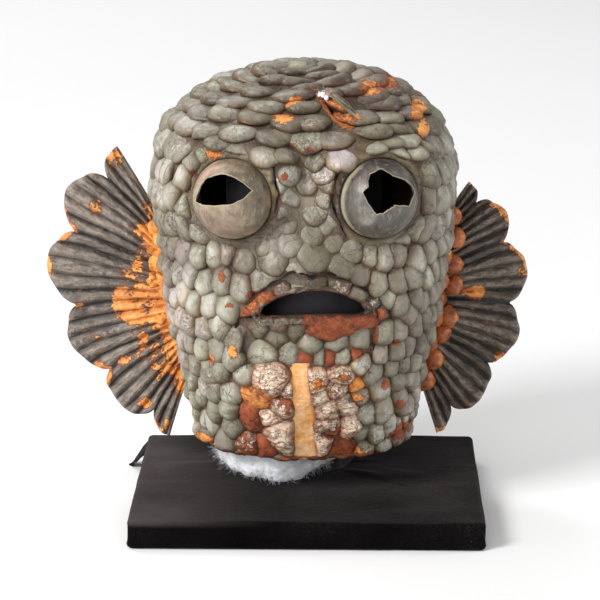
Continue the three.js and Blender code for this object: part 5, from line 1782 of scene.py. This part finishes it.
def camera():
    """The camera at the photograph's viewpoint."""
    ahead = np.array([-math.sin(VIEW_YAW), math.cos(VIEW_YAW), 0])
    right = np.array([math.cos(VIEW_YAW), math.sin(VIEW_YAW), 0])
    edge = np.array([BOARD_MIDDLE[0], BOARD_LOW[1], BOARD_TOP + VIEW_HEIGHT])
    data = bpy.data.cameras.new("view")
    data.sensor_width = 36
    data.lens = 36 * VIEW_FOCUS
    data.clip_end = 50
    obj = bpy.data.objects.new("view", data)
    obj.location = (edge - VIEW_DISTANCE * ahead + VIEW_SIDE * right) / 1000
    obj.rotation_euler = (math.pi / 2 - VIEW_PITCH, 0, VIEW_YAW)
    bpy.context.scene.collection.objects.link(obj)
    bpy.context.scene.camera = obj


def area_light(name, place, aim, size, power):
    """A rectangular light that faces the point it is aimed at."""
    data = bpy.data.lights.new(name, "AREA")
    data.shape = "RECTANGLE"
    data.size, data.size_y = size
    data.energy = power
    obj = bpy.data.objects.new(name, data)
    x, y, z = np.array(aim, float) - np.array(place, float)
    obj.location = place
    obj.rotation_euler = (math.atan2(math.hypot(x, y), -z), 0, math.atan2(-x, y))
    bpy.context.scene.collection.objects.link(obj)


def studio():
    """A wide pale floor under an even pale sky, a soft main light from the front left, weaker ones from the
    right and low in front, a wide one overhead, and one that keeps the floor behind bright."""
    f = Finish("pale_floor", Roughness=0.9)
    material = f.done(Base_Color=f.mix(f.noise(300, 2), (0.92, 0.92, 0.92), (0.94, 0.94, 0.94)))
    mesh = bpy.data.meshes.new("pale_floor")
    corners = [(-FLOOR, -FLOOR, 0), (FLOOR, -FLOOR, 0), (FLOOR, FLOOR, 0), (-FLOOR, FLOOR, 0)]
    mesh.from_pydata(corners, [], [(0, 1, 2, 3)])
    mesh.materials.append(material)
    ground = bpy.data.objects.new("pale_floor", mesh)
    bpy.context.scene.collection.objects.link(ground)
    world = bpy.data.worlds.new("studio")
    world.use_nodes = True
    sky = world.node_tree.nodes["Background"].inputs
    sky["Color"].default_value = (1, 1, 1, 1)
    sky["Strength"].default_value = SKY
    bpy.context.scene.world = world
    bpy.context.scene.view_settings.view_transform = "Standard"
    for name, light in LIGHTS.items():
        area_light(name, *light)


camera()
studio()
latex = painted_latex()
skin_shell(latex)
scale_pieces(latex)
lips(latex)
lip_patch(latex)
crack_lines(dark_gap())
rim_edge(latex)
tear_ribbons(latex)
bare_strip(strip_foam())
for own_side, lumps in ((-1, raw_foam()), (1, roe_latex())):
    eye_dome(own_side, horn_plastic(own_side))
    fin(own_side, fin_latex(own_side))
    root_foam(own_side, lumps)
velvet = black_velvet()
velvet_board(velvet)
loose_corner(velvet)
cloth_form(black_cloth())
batting = white_batting()
neck_batting(batting)
crown_pad(batting)
